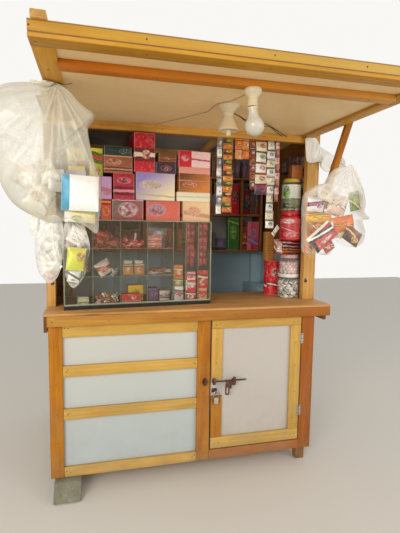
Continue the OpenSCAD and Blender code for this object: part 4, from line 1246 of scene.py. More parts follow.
        error = self.hand_error
        row((92, 104, 826, 838), (0,), (118, 460, 710, 950), TO_FRONT, error, error, 14)
        row((37,), (0,), (130, 300, 470, 640, 860), TO_FRONT, error, error)
        row((889,), (0,), (130, 330, 520, 700, 880), TO_FRONT, error, error)
        row((1583,), (0,), (130, 420, 600, 760, 930), TO_FRONT, error, error)
        row((20, 330, 700, 1080, 1420, 1690), (-30,), (1004,), TO_FRONT, error, error)
        row((300, 640, 980, 1330), (POST_Y,), (2112,), TO_FRONT, 12)
        for x in (70, 430, 900, 1290, 1630):
            row((x,), (-907,), (2158,), TO_FRONT, 9)
            row((x,), (-868,), (2123,), DOWN, 9)
        row((84, 1620), (-620, -360, -110, 90), (2123,), DOWN)
        row((160, 480, 800, 1120, 1440), (-685,), (2108,), DOWN, 9)
        row((962, 990, 1484, 1510), (0,), (190, 940), TO_FRONT, error, error, 0, "door")
        row((1497,), (0,), (300, 480, 650, 800), TO_FRONT, error, error, 0, "door")
        row((968,), (0,), (290, 440, 700, 850), TO_FRONT, error, error, 0, "door")
        row((30,), (BACK_Y,), (130, 460, 700, 900), TO_BACK, error, error)
        row((14,), (BACK_Y,), (1120, 1590, 1980), TO_BACK, error, error)
        for x in (810, 1600):
            row((x,), (BACK_Y,), (130, 460, 700, 900, 1120, 1590, 1980), TO_BACK, error, error)
        for x, front, heights, outward in ((0, 55, (130, 460, 710, 900), TO_LEFT),
                                           (1625, 55, (130, 460, 710, 900), TO_RIGHT),
                                           (-23, 320, (1085, 1592, 2050), TO_LEFT),
                                           (1718, 320, (1085, 1592, 2050), TO_RIGHT)):
            for y in (front, 1092):
                row((x,), (y,), heights, outward)
        for x, z, radius in ((1649, 1173, 0.0125), (1646, 1186, 0.008), (12, 1189, 0.012)):
            made["kiosk"].append(self.nail(at([x, POST_Y, z]), TO_FRONT, radius))
        self.maker.make("board_nails", made["kiosk"], "kiosk", "rusty_steel", Finish.NAIL)
        self.maker.make("door_nails", made["door"], "door", "rusty_steel", Finish.NAIL)

    def build(self) -> None:
        """Rebuilds the boards of each set as one piece, then adds ledges and nails."""
        for name, body, slot, finish, nodes, single in self.SETS:
            rng = np.random.default_rng(self.seed + len(name))
            found = [p for n in nodes for p in self.maker.solids(n)]
            found.sort(key=lambda p: (round(float(p[:, 0].mean()), 3), float(p[:, 2].mean())))
            boards = [self.board(p, rng, single.get(i)) for i, p in enumerate(found)]
            self.maker.make(name, boards, body, slot, finish, nodes)
        self.ledges()
        self.nails()


@dataclass
class Sheets:
    """Flat white sheets, lining, roofing and the concrete block."""

    maker: PieceMaker
    block_left: float = 22.0
    block_width: float = 146.0
    block_top: float = 87.6

    # Low and high corners of the blue-grey boards in the right rear corner.
    CORNER = (
        ((1600, 1074, 1050.2), (1696, 1078.6, 1322)),
        ((1692, 640, 1050.2), (1696.6, 1073.7, 1322)),
        ((1544.5, 549, 1048.3), (1691.7, 1073.7, 1050)),
        ((1536.4, 549, 958), (1539.8, 1111.5, 1050)),
        ((1596, 1074, 1050.2), (1599.8, 1111.5, 1322)),
    )

    def block(self) -> Surface:
        """Works out the broken block.

        Its side outline, with softened corners, is carried across and shrinks
        at both ends. Every point then moves from the middle by a sum of
        products of sines of its place, which gives the broken faces.

        Returns:
            The block.
        """
        outline = np.array([[-115, 2], [-96, 52], [-44, 86], [148, 87], [171, 34], [164, 2]], float)
        loop = np.concatenate([outline, outline[:1]])
        run = np.linspace(0, len(outline), 72, endpoint=False)
        k = run.astype(int)
        t = (run - k)[:, None]
        ring = loop[k] * (1 - t) + loop[k + 1] * t
        ring = (ring + np.roll(ring, 1, 0) + np.roll(ring, -1, 0)) / 3
        middle = ring.mean(axis=0)
        across = np.linspace(0, 1, 26)
        shrink = 1 - 0.03 * np.clip(np.abs(across - 0.5) * 2 - 0.9, 0, 1) * 10
        yz = middle + (ring[None] - middle) * shrink[:, None, None]
        x = self.block_left + self.block_width * across
        rough = np.sin(yz[..., 0] * 0.21 + x[:, None] * 0.13) * np.sin(yz[..., 1] * 0.31 + x[:, None] * 0.07)
        rough += 0.6 * np.sin(yz[..., 0] * 0.57 - x[:, None] * 0.41) * np.sin(yz[..., 1] * 0.6)
        pull = 1.4 * (rough - 1.6)
        out = (yz - middle) / np.linalg.norm(yz - middle, axis=-1, keepdims=True)
        yz = yz + out * pull[..., None]
        yz[..., 1] = np.clip(yz[..., 1], 0, self.block_top)
        pts = np.concatenate([np.broadcast_to(x[:, None, None], yz.shape[:2] + (1,)), yz], -1)
        return Surface(at(pts).reshape(-1, 3), carried_faces(*yz.shape[:2]))

    def build(self) -> None:
        """Dresses the sheets and builds the corner's lining and the block."""
        self.maker.dress(Finish.CABINET_SHEET, "front_panel")
        self.maker.dress(Finish.DOOR_SHEET, "door_sheet")
        self.maker.dress(Finish.WALL_SHEET, "side_panels", "back_panel")
        self.maker.dress(Finish.CEILING_SHEET, "flap_sheet")
        self.maker.dress(Finish.ROOF_SHEET, "flap_cover", "roof_panel")
        self.maker.dress(Finish.LINING, "back_lining")
        panels = [Surface(*carried_block(at(box_corners(*corners)), 0.0005)[:2]) for corners in self.CORNER]
        self.maker.make("corner_lining", panels, "kiosk", "blue_grey_board", Finish.LINING)
        self.maker.make("block_of_concrete", [self.block()], "kiosk", "concrete", Finish.CONCRETE,
                        ["stone_block"], smooth=0.5)


@dataclass
class DoorFittings:
    """Hinges with screws, the rusty bolt and its padlock."""

    maker: PieceMaker
    lock_x: float = 968.5
    lock_foot: float = 445.7
    lock_tall: float = 46.0
    lock_half: float = 22.0
    lock_back: float = -2.0
    lock_front: float = -16.0
    bow_half: float = 13.0
    bow_y: float = -9.0

    # Profiles as radius and height off the face, in millimetres.
    SCREW = ((0.1, 0.0), (1.6, 0.0), (3.2, 0.0), (2.88, 0.8), (1.6, 1.4), (0.1, 1.6))
    PLATE = ((0.1, 0.0), (7.5, 0.0), (7.8, 0.7), (5.5, 1.2), (0.1, 0.9))
    ROSE = ((0.1, 0.2), (17.5, 0.2), (18, 1.2), (16.8, 2.6), (12.8, 3.4), (10.4, 3.1), (7.8, 1.2), (0.1, 1))

    def shell(self, share: float, deep: float, low: float, high: float, finish: Finish | None) -> Surface:
        """Carries the padlock's round outline from one height to another.

        Half its width grows with the square root of the height up to its
        shoulders, and is a little less at both rims.

        Args:
            share: share of the full width.
            deep: share of the full depth.
            low: its lower end above the padlock's foot.
            high: its upper end above the padlock's foot.
            finish: its own finish.

        Returns:
            The shell.
        """
        heights = np.linspace(0, self.lock_tall, 18)
        half = self.lock_half * np.minimum(1, 0.66 + 0.34 * np.sqrt(np.clip(heights / 14, 0, 1))) \
            * np.where(heights > self.lock_tall - 1.2, 0.96, 1.0) * np.where(heights < 0.5, 0.92, 1.0)
        ring, _ = rounded_ring(2.0, 2.0, 0.45, 5, 3)
        keep = (heights >= low) & (heights <= high)
        x = self.lock_x + ring[None, :, 0] * half[keep][:, None] * share
        middle, thick = self.lock_front + self.lock_back, self.lock_back - self.lock_front
        y = np.broadcast_to(middle / 2 + ring[None, :, 1] * thick / 2 * deep, x.shape)
        z = np.broadcast_to(self.lock_foot + heights[keep][:, None], x.shape)
        return Surface(at(np.stack([x, y, z], -1)).reshape(-1, 3), carried_faces(*x.shape), {}, finish)

    def padlock(self) -> list[Surface]:
        """Works out the lock's round-shouldered case, its face, its keyhole's plate and its bow.

        Returns:
            The lock's surfaces.
        """
        foot = self.lock_foot + self.lock_tall - 4
        a = np.linspace(0, math.pi, 24)
        arc = np.stack([self.lock_x + self.bow_half * np.cos(a), np.full(24, self.bow_y),
                        foot + 26 + self.bow_half * np.sin(a)], -1)
        right, left = ([[self.lock_x + s * self.bow_half, self.bow_y, foot + k] for k in steps]
                       for s, steps in ((1, (0, 13)), (-1, (13, 0))))
        return [self.shell(1.0, 0.9, 0, self.lock_tall, Finish.LOCK_SIDE),
                self.shell(0.74, 1.0, 2, self.lock_tall - 1, None),
                front_disc(self.PLATE, (self.lock_x, self.lock_front + 0.2, self.lock_foot + 24), 20),
                tube(at(np.concatenate([right, arc, left])), 0.0032, 12, Finish.LOCK_BOW)]

    def build(self) -> None:
        """Dresses the fittings and adds screws, the rose and the padlock."""
        self.maker.dress(Finish.HINGE, "hinge_frame_leaves", "hinge_door_leaves")
        self.maker.dress(Finish.RUSTY, "bolt_fittings", "bolt_rod", "bolt_keeper")
        self.maker.make("keeper_rose", [front_disc(self.ROSE, (897, 0, 590), 48)], "kiosk", "rusty_steel",
                        Finish.RUSTY)
        for name, body, x, steps in (("hinge_screws_on_stile", "kiosk", 1545.5, (-24, 0, 24)),
                                     ("hinge_screws_on_door", "door", 1526.5, (-22, 22))):
            screws = [front_disc(self.SCREW, (x, -2, z + step), 14) for z in HINGES for step in steps]
            self.maker.make(name, screws, body, "hinge_steel", Finish.NAIL)
        self.maker.make("lock", self.padlock(), "door", "padlock_brass", Finish.LOCK_BODY, ["padlock"])


@dataclass
class Lamps:
    """Two lampholders, the bulb, the twin flex and the lead on the sheet."""

    maker: PieceMaker
    front: tuple[float, float, float] = (899.0, -684.5, 2108.0)
    rear: tuple[float, float, float] = (910.0, -323.5, SHEET_Z)
    lean: float = 7.5
    globe: float = 41.0
    neck: float = 19.0
    core: float = 0.0022
    lead: float = 0.0013

    # Profiles as radius and depth below the lamp's place, in millimetres.
    FRONT_HOLDER = (
        (0.1, 0), (35, 0), (36.4, 1.5), (37, 4), (37, 17), (35, 20), (21.4, 34.5), (21, 37), (21, 44),
        (21.8, 45), (21.8, 48), (21, 49), (21, 66), (22, 67.5), (22, 71.5), (21, 72), (0.1, 72))
    REAR_HOLDER = (
        (0.1, 0), (57, 0), (57, 5), (55.5, 7), (45, 15), (31, 29), (27, 34), (27, 47), (23.6, 51.5),
        (23.6, 55), (27, 62), (38, 90), (47, 110), (52, 121), (52, 123.4), (50, 124), (48.2, 123),
        (44, 110), (34, 92), (21, 71), (13, 70), (12, 72), (12, 96), (13, 98), (13, 101), (12, 103),
        (12, 147.5), (10, 149), (0.1, 149))
    BULB_NECK = ((0.1, 0), (18.4, 0.2), (19, 1.5), (19.6, 12), (20.3, 24), (22.6, 36), (26.5, 44))
    BULB_CAP = ((0.1, 0), (21.2, 0), (21.6, 3), (21.2, 6.5), (20.1, 7))
    # Routes as millimetres across, share of the way back to the header, and millimetres up.
    CORE_ONE = ((30, .002, -36), (69, .04, -45), (130, .159, -50), (288, .442, -30), (372, .64, -8),
                (448, .799, -6), (565, .9964, -17))
    CORE_TWO = ((30, .017, -36), (70, .056, -40), (131, .167, -42), (288, .442, -16), (375, .661, -6.6),
                (440, .817, -8), (526, .9967, -13))
    LEAD = ((0, .045, -10), (6, .0745, 4), (16, .132, 26), (26, .207, 27.6), (13, .271, 27.6),
            (-6, .329, 27.6), (-35, .363, 27.6), (-55, .4154, 27.6), (-58, .467, 27.6), (-61, .56, 27.6),
            (-91, .628, 27.6), (-123, .688, 27.6), (-156, .75, 27.6), (-190, .819, 27.6),
            (-227, .879, 27.6), (-265, .949, 27.6), (-293, .9987, 27.6))

    def hung(self, profile: Sequence[Sequence[float]], spot: Sequence[float], sides: int = 64,
             lean: float = 0.0, finish: Finish | None = None) -> Surface:
        """Turns a profile that is written downwards from a place.

        Args:
            profile: (radius, depth) pairs in millimetres.
            spot: the place in the source's frame.
            sides: number of angles.
            lean: angle that it hangs at, in degrees.
            finish: its own finish.

        Returns:
            The turned surface.
        """
        pts, faces, _ = lathe([(r / 1000, -d / 1000) for r, d in profile], sides)
        if lean:
            pts = turned(pts, -math.radians(lean), "Y")
        return Surface(pts + at(spot), faces, {}, finish)

    def bulb(self) -> list[Surface]:
        """Works out the bulb: a neck that swells into a globe, hung leaning.

        The globe at angle a has the radius times sin a, at a depth of its
        middle minus the radius times cos a.

        Returns:
            The bulb and the cap over its neck.
        """
        a = np.linspace(math.radians(48), math.radians(179.7), 34)
        globe = np.stack([self.globe * np.sin(a), 77.9 - self.globe * np.cos(a)], -1)
        lift = self.neck * math.sin(math.radians(self.lean)) + 0.3
        x, y, z = self.front[0], self.front[1], self.front[2] - 72 - lift
        return [self.hung(np.concatenate([self.BULB_NECK, globe]), (x, y, z), 64, self.lean),
                self.hung(self.BULB_CAP, (x, y, z - 0.2), 48, self.lean, Finish.HOLDER)]

    def route(self, start: Sequence[float], steps: Sequence[Sequence[float]]) -> np.ndarray:
        """Draws a wire's route from a lamp to the header.

        Args:
            start: the lamp's place.
            steps: millimetres across, share of the way back, and millimetres up.

        Returns:
            The route's points in metres.
        """
        back = POST_Y - start[1]
        places = [np.array(start) + [x, y * back, z] for x, y, z in steps]
        return at(smooth_route(np.array(places), 5))

    def clip(self, path: np.ndarray, k: int) -> Surface:
        """Bends a wire clip over the lead, as half an ellipse across it.

        Args:
            path: the lead's route.
            k: the number of the route's point that it holds.

        Returns:
            The clip.
        """
        a = np.linspace(0, math.pi, 9)[:, None]
        ahead = path[k + 1] - path[k - 1]
        side = np.array([-ahead[1], ahead[0], 0]) / np.linalg.norm(ahead[:2])
        arc = path[k] + side * (0.0034 * np.cos(a)) + np.array([0, 0, 1]) * (0.0018 - 0.0050 * np.sin(a))
        return tube(arc, 0.0009, 6, Finish.HINGE)

    def build(self) -> None:
        """Builds the holders, the bulb, the flex of two cores and the lead with its clips."""
        holders = [self.hung(self.FRONT_HOLDER, self.front), self.hung(self.REAR_HOLDER, self.rear)]
        self.maker.make("lampholders", holders, "kiosk", "lamp_plastic", Finish.HOLDER, ["lamp_holders"],
                        smooth=0.6)
        self.maker.make("bulb", self.bulb(), "kiosk", "bulb_globe", Finish.BULB, ["lamp_bulb"], smooth=0.9)
        for name, steps in (("flex_core_one", self.CORE_ONE), ("flex_core_two", self.CORE_TWO)):
            path = self.route(self.rear, steps)
            piece = self.maker.make(name, [tube(path, self.core, 12)], "kiosk", "wire_plastic", Finish.FLEX,
                                    ["lamp_flex"])
        path = self.route(self.front, self.LEAD)
        wires = [tube(path, self.lead, 8), *(self.clip(path, k) for k in (22, 48, 62, 76))]
        self.maker.make("lead_on_sheet", wires, "kiosk", "wire_plastic", Finish.LEAD, ["lamp_lead"])


@dataclass
class Goods:
    """Packs of one place, gathered into one piece."""

    maker: PieceMaker
    seed: int
    in_glass: bool = False
    made: list[Surface] = field(default_factory=list)

    def __post_init__(self) -> None:
        """Starts the seeded source of small differences."""
        self.rng = np.random.default_rng(self.seed)

    def place(self, points: np.ndarray) -> np.ndarray:
        """Turns the goods' own millimetres into the row's metres."""
        return in_case(points) if self.in_glass else at(points)

    def carton(self, corners: np.ndarray, ink: Ink) -> None:
        """Adds a card box that stands upright.

        Args:
            corners: its corners in metres, [up][across][through].
            ink: its print.
        """
        pts, faces, _, face = carried_block(corners, 0.0016, 8, 8, bulge=0.0012)
        ends = (face[:, 1] < 1e-4) | (face[:, 1] > 1 - 1e-4)
        face[ends, 0] = 3.0
        self.made.append(Surface(pts, faces, ink.values(face), Finish.CARD))

    def box(self, low: Sequence[float], size: Sequence[float], ink: Ink, turn: float = 0.0) -> None:
        """Adds a card box.

        Args:
            low: its low corner in millimetres.
            size: across, through and up.
            ink: its print.
            turn: turn about its upright middle.
        """
        low, size = np.asarray(low, float), np.asarray(size, float)
        self.carton(self.place(turned(box_corners(-size / 2, size / 2), turn) + (low + size / 2)), ink)

    def packet(self, middle: Sequence[float], size: Sequence[float], ink: Ink, turn: float = 0.0,
               tip: float = 0.0, roll: float = 0.0) -> None:
        """Adds a sealed packet.

        Args:
            middle: where its middle is, in millimetres.
            size: across, through and up.
            ink: its print.
            turn: turn about the upright axis.
            tip: lean backwards.
            roll: turn in its own plane.
        """
        wide, deep, tall = (s / 1000 for s in size)
        pts, faces, face = pillow(wide, tall, deep, 0.06 * size[2] / 1000, self.rng)
        turn += CASE_TURN if self.in_glass else 0.0
        pts = turned(turned(turned(pts, roll, "Y"), tip, "X"), turn, "Z")
        self.made.append(Surface(pts + self.place(middle), faces, ink.values(face), Finish.FOIL))

    def piece(self, name: str, slot: str, replaces: Sequence[str] = ()) -> None:
        """Makes the gathered packs one piece."""
        self.maker.make(name, self.made, "kiosk", slot, Finish.CARD, replaces, smooth=0.8)


class Hue:
    """Plain colours that the stock's generic prints are mixed from."""

    RED = tone(204, 22, 38)
    CHERRY = tone(200, 18, 42)
    SCARLET = tone(206, 24, 30)
    WINE = tone(172, 34, 40)
    DARK_RED = tone(134, 20, 34)
    PINK = tone(214, 96, 120)
    PALE_PINK = tone(236, 196, 196)
    SALMON = tone(222, 112, 88)
    ORANGE = tone(222, 104, 40)
    CARROT = tone(226, 116, 30)
    MAROON = tone(150, 48, 42)
    BROWN = tone(118, 62, 34)
    TAN = tone(176, 136, 96)
    AMBER = tone(220, 146, 44)
    HONEY = tone(224, 158, 30)
    YELLOW = tone(236, 208, 56)
    GREEN = tone(62, 138, 52)
    LEAF = tone(150, 186, 60)
    OLIVE = tone(50, 64, 30)
    TEAL = tone(20, 92, 88)
    BLUE = tone(60, 110, 180)
    LILAC = tone(150, 130, 190)
    PURPLE = tone(72, 44, 74)
    CREAM = tone(232, 222, 190)
    WHITE = tone(240, 238, 230)
    ASH = tone(124, 114, 102)
    GREY = tone(128, 124, 124)
    DARK = tone(34, 34, 38)


@dataclass
class CartonStack:
    """The printed cartons piled on the glass case."""

    maker: PieceMaker

    # Middle across and up in the case's frame, and the print's three colours, band, oval and look.
    LOOKS = (
        (79, 575, Ink(Hue.ORANGE, Hue.CHERRY, Hue.CREAM)),
        (78, 711, Ink(Hue.LILAC, Hue.WHITE, Hue.PINK)),
        (80, 850, Ink(Hue.YELLOW, Hue.GREEN, Hue.CHERRY)),
        (178, 575, Ink(tone(202, 92, 56), tone(140, 14, 36), Hue.BLUE, (0.3, 0.16, 0.2),
                       (0.5, 0.6, 0.3, 0.16))),
        (179, 699, Ink(tone(196, 160, 206), tone(226, 150, 176), Hue.CREAM, (0.2, 0.08, 0.1),
                       look=(0.0, 0.8, 0.0))),
        (187, 839, Ink(Hue.YELLOW, Hue.GREEN, Hue.CHERRY, (0.66, 0.2, 0.1), (0.6, 0.18, 0.3, 0.12),
                       (0.0, -0.7, 0.0))),
        (241, 574, Ink(tone(196, 84, 50), Hue.CHERRY, Hue.AMBER, (0.86, 0.14, 0.0), (0.5, 0.4, 0.36, 0.2))),
        (243, 698, Ink(tone(186, 158, 206), tone(228, 156, 178), Hue.PINK, (0.4, 0.1, 0.1),
                       (0.5, 0.24, 0.4, 0.08))),
        (366, 575, Ink(tone(122, 106, 96), Hue.CHERRY, tone(222, 196, 204), (0.95, 0.06, 0.0),
                       (0.5, 0.5, 0.3, 0.34), (0.0, -0.5, 0.0))),
        (344, 710, Ink(tone(190, 34, 66), tone(140, 14, 36), tone(228, 140, 156), (0.32, 0.17, 0.0),
                       (0.5, 0.72, 0.34, 0.12))),
        (310, 834, Ink(tone(170, 98, 66), tone(120, 66, 44), tone(214, 150, 120), (0.22, 0.12, 0.0),
                       (0.36, 0.62, 0.26, 0.18), (0.08, 0.5, 0.0))),
        (309, 909, Ink(tone(22, 56, 52), tone(16, 40, 44), tone(46, 92, 84), (0.5, 0.12, 0.3),
                       (0.75, 0.5, 0.2, 0.3))),
        (580, 575, Ink(tone(214, 108, 84), tone(196, 70, 56), tone(96, 160, 200), (0.98, 0.02, 0.0),
                       (0.3, 0.52, 0.25, 0.28))),
        (532, 716, Ink(tone(150, 134, 202), tone(240, 224, 170), tone(216, 190, 160), (0.18, 0.03, 0.1),
                       (0.38, 0.56, 0.3, 0.17), (0.0, -0.95, 0.0))),
        (594, 831, Ink(tone(56, 34, 58), Hue.DARK, tone(150, 56, 66), (0.85, 0.06, 0.0),
                       (0.5, 0.45, 0.26, 0.24))),
        (603, 893, Ink(tone(116, 68, 34), Hue.BROWN, tone(186, 122, 50), (0.4, 0.12, 0.0),
                       (0.5, 0.4, 0.24, 0.14))),
        (465, 911, Ink(Hue.CHERRY, tone(140, 14, 36), Hue.CREAM, (0.45, 0.17, 0.0),
                       (0.58, 0.46, 0.2, 0.11))),
        (790, 575, Ink(tone(226, 178, 138), tone(226, 200, 150), tone(206, 120, 90), (0.35, 0.1, 0.2),
                       (0.4, 0.5, 0.26, 0.25), (0.0, 0.8, 0.0))),
        (770, 664, Ink(Hue.CREAM, tone(206, 190, 160), Hue.WHITE, (0.5, 0.06, 0.0), (0.5, 0.5, 0.1, 0.1))),
        (776, 767, Ink(tone(96, 46, 22), tone(212, 128, 36), tone(224, 150, 130), (0.46, 0.035, 0.0),
                       (0.34, 0.3, 0.22, 0.1), (0.25, -0.9, 0.0))),
        (774, 891, Ink(tone(236, 200, 196), Hue.CHERRY, tone(206, 60, 80), (0.5, 0.05, 0.12),
                       (0.2, 0.55, 0.12, 0.2), (0.0, 0.0, 0.4))),
    )

    def build(self) -> None:
        """Rebuilds each carton from its solid and gives it the nearest look."""
        goods = Goods(self.maker, 3)
        c, s = math.cos(CASE_TURN), math.sin(CASE_TURN)
        for pts in self.maker.solids("stock_boxes"):
            x, y, z = ((pts + np.array([MID_X, MID_Y, 0])) * 1000 - np.array([CASE_X, CASE_Y, COUNTER_Z])).T
            own = np.stack([x * c + y * s, -x * s + y * c, z], -1)
            low, high = own.min(0), own.max(0)
            across, _, up = (low + high) / 2
            ink = min(self.LOOKS, key=lambda look: (look[0] - across) ** 2 + (look[1] - up) ** 2)[2]
            goods.carton(in_case(box_corners(low, high)), ink)
        goods.piece("cartons", "carton", ["stock_boxes"])


@dataclass
class GlassCase:
    """The display case: glass with pale edges, its base, and the goods in it."""

    maker: PieceMaker
    width: float = 880.0
    height: float = 515.0
    wide: float = 159.0
    narrow_x: float = 636.0
    slot: float = 80.0
    floor: float = 22.0
    rise: float = 163.0

    # Tall packs of the narrow bays from the floor up: three colours, height, width and fading.
    STACKS = (
        ((Hue.WHITE, tone(20, 130, 130), Hue.PINK, 90, 66, -0.5),
         (tone(206, 120, 60), Hue.GREEN, Hue.CREAM, 60, 60, -0.8),
         (tone(206, 60, 50), Hue.AMBER, Hue.CREAM, 72, 54, 0.6)),
        ((tone(206, 26, 56), Hue.WINE, Hue.WHITE, 66, 66, 0.0),
         (tone(214, 30, 60), Hue.WHITE, Hue.WHITE, 62, 66, 0.0),
         (Hue.WHITE, Hue.RED, Hue.PINK, 50, 64, 0.6)),
        ((tone(226, 190, 150), Hue.SALMON, Hue.RED, 74, 58, 0.6),
         (tone(206, 20, 44), Hue.WINE, Hue.CREAM, 112, 66, 0.2)),
    )

    def strip(self, low: Sequence[float], high: Sequence[float], finish: Finish) -> Surface:
        """Works out one thin strip between two corners in the case's frame.

        Args:
            low: its low corner.
            high: its high corner.
            finish: its finish.

        Returns:
            The strip, carried along its longest side.
        """
        longest = int(np.argmax(np.subtract(high, low)))
        order = [longest] + [axis for axis in range(3) if axis != longest]
        pts, faces, _, _ = carried_block(in_case(box_corners(low, high, order)), 0.0006, 2)
        return Surface(pts, faces, {}, finish)

    def edges(self) -> list[Surface]:
        """Works out pale strips on the glass's front edges and along the base. The green-grey of the strips
        on the glass's edges is partly the edges' own tint and partly a painted highlight.

        Returns:
            The strips.
        """
        h, w, floor, edge = self.height, self.width, self.floor, Finish.GLASS_EDGE
        strips = [self.strip((x - 0.6, -0.8, floor), (x + 6.6, -0.05, h), edge) for x in (0.0, w - 6.0)]
        strips += [self.strip((6.2, -0.8, z), (w - 6.2, -0.05, z + 6.0), edge) for z in (h - 6.0, floor)]
        strips.append(self.strip((6.0, -0.9, floor + 6.3), (w - 6.0, -0.1, floor + 9.5), Finish.PALE_EDGE))
        walls = [k * self.wide for k in (1, 2, 3)] + [self.narrow_x + k * self.slot for k in (0, 1, 2)]
        strips += [self.strip((x, 9.0, floor), (x + 4.0, 9.9, h - 5), edge) for x in walls]
        strips += [self.strip((5.0, 8.9, z), (self.narrow_x - 1, 9.9, z + 4.0), edge)
                   for z in (floor + self.rise, floor + 2 * self.rise)]
        return strips

    def heap(self, goods: Goods, kinds: Sequence[Sequence[Tone]], room: Sequence[float],
             size: Sequence[float], count: int, fall: float = 0.0, swing: float = 1.2) -> None:
        """Heaps packets, with their middles spread by the golden ratio across the heap.

        Args:
            goods: what they are added to.
            kinds: three colours for each kind.
            room: low x, high x, low z and high z.
            size: size of a packet.
            count: number of packets.
            fall: slope of the heap down to the right.
            swing: largest turn of a packet in its own plane.
        """
        left, right, low, high = room
        wide, _, tall = size
        rng = goods.rng
        for k in range(count):
            x = left + wide * 0.4 + (right - left - wide * 0.8) * ((k * 0.618) % 1.0)
            rise = max(high - low - tall * 0.7 - fall * (x - left), 0.0)
            z = low + tall * 0.42 + rise * (k / max(count - 1, 1))
            ink = Ink(*kinds[k % len(kinds)], (0.5, 0.16, 0.4), (0.5, 0.5, 0.25, 0.3))
            goods.packet((x, 40 + 10 * rng.uniform(0, 3), z), size, ink, rng.uniform(-0.4, 0.4),
                         rng.uniform(-0.5, 0.2), rng.uniform(-swing, swing))

    def bays(self, g: Goods) -> None:
        """Fills the four wide bays from the top row down, as the photo shows them.

        Args:
            g: the case's goods.
        """
        h, rng = Hue, g.rng
        low, mid, top = (self.floor + r * self.rise + (4.7 if r else 0.6) for r in range(3))
        deep, ash, tan = tone(132, 30, 34), h.ASH, h.TAN
        self.heap(g, [(h.MAROON, deep, h.SALMON), (h.WINE, h.MAROON, h.MAROON), (deep, h.MAROON, tan)],
                  (172, 314, top, 484), (68, 20, 42), 22, 0.8)
        self.heap(g, [(h.ORANGE, h.WINE, h.AMBER)], (236, 312, top, top + 36), (60, 18, 22), 4, 0, 0.3)
        self.heap(g, [(h.RED, h.WINE, h.PALE_PINK), (tone(206, 70, 90), h.RED, h.WHITE),
                      (h.WINE, h.RED, h.CREAM)], (330, 468, top, 404), (58, 18, 30), 13, 0.1, 0.7)
        g.packet((410, 40, top + 52), (13, 8, 70), Ink(h.PALE_PINK, h.PINK, h.WHITE), 0.2, 0.0, 0.12)
        for k in range(5):
            ink = Ink((h.SALMON, h.PALE_PINK)[k % 2], h.RED, h.CREAM, (0.5, 0.2, 0.0))
            g.box((486, 30, top + k * 15.6), (84, 60, 15), ink, rng.uniform(-0.04, 0.04))
        g.packet((563, 130, top + 62), (124, 30, 118),
                 Ink(h.GREY, tone(160, 160, 156), h.WHITE, (0.8, 0.05, 0.2)), 0.1, 0.1, 0.1)
        self.heap(g, [(tan, ash, h.PINK), (h.WHITE, ash, h.PINK)], (14, 150, top, top + 60), (54, 20, 40), 5)
        g.packet((228, 52, mid + 44), (92, 34, 84),
                 Ink(h.WHITE, tone(176, 96, 60), h.ORANGE, (0.5, 0.14, 0.3), (0.4, 0.4, 0.3, 0.26)),
                 0.25, -0.15, -0.5)
        self.heap(g, [(h.WHITE, h.BROWN, h.GREY)], (268, 316, mid, mid + 34), (34, 14, 18), 4)
        card = Ink(tone(206, 146, 84), h.BROWN, h.CREAM, (0.9, 0.12, 0.0), (0.5, 0.45, 0.24, 0.22))
        for x, turn in ((338, -0.06), (403, 0.09)):
            g.box((x, 34, mid), (62, 46, 66), card, turn)
            g.packet((x + 31, 46, mid + 74), (52, 34, 26), Ink(h.WHITE, h.CREAM, h.CREAM), 0.1, 0.0, 0.1)
        self.heap(g, [(tan, h.CREAM, h.AMBER)], (352, 458, mid, mid + 30), (44, 14, 26), 4, 0, 0.3)
        self.heap(g, [(h.WHITE, h.BROWN, ash), (tan, ash, h.MAROON), (h.BROWN, h.MAROON, tan),
                      (ash, h.MAROON, h.BROWN)], (498, 634, mid, mid + 42), (58, 16, 18), 12, 0.1, 0.35)
        self.heap(g, [(h.WHITE, h.RED, h.BLUE), (ash, h.BROWN, tan)], (14, 150, mid, mid + 60),
                  (54, 20, 40), 7)
        flat = ((tone(40, 110, 112), h.BLUE, h.WHITE), (h.YELLOW, h.LEAF, h.WHITE),
                (h.WHITE, h.TEAL, h.YELLOW))
        for k, colours in enumerate(flat):
            g.box((74 + k * 2, 26, low + k * 15), (66 - k * 3, 60, 14.4), Ink(*colours, (0.5, 0.2, 0.0)),
                  0.03 * k)
        self.heap(g, [(h.WHITE, ash, h.BROWN), (tan, h.BROWN, h.MAROON), (h.BROWN, h.MAROON, ash),
                      (h.MAROON, h.BROWN, tan)], (178, 316, low, low + 64), (40, 12, 22), 22, 0.12)
        g.box((376, 90, low), (94, 80, 96), Ink(h.YELLOW, h.AMBER, h.LEAF, (0.3, 0.1, 0.0)))
        g.box((330, 30, low), (112, 56, 54),
              Ink(tone(206, 30, 40), h.WINE, h.WHITE, (0.2, 0.06, 0.0), (0.62, 0.6, 0.14, 0.24)), 0.03)
        g.box((500, 70, low), (60, 80, 78), Ink(tone(110, 84, 130), h.PURPLE, h.LILAC, (0.6, 0.1, 0.1)))
        g.box((566, 60, low), (64, 80, 62), Ink(h.CREAM, h.GREY, h.LILAC, (0.4, 0.2, 0.0)))

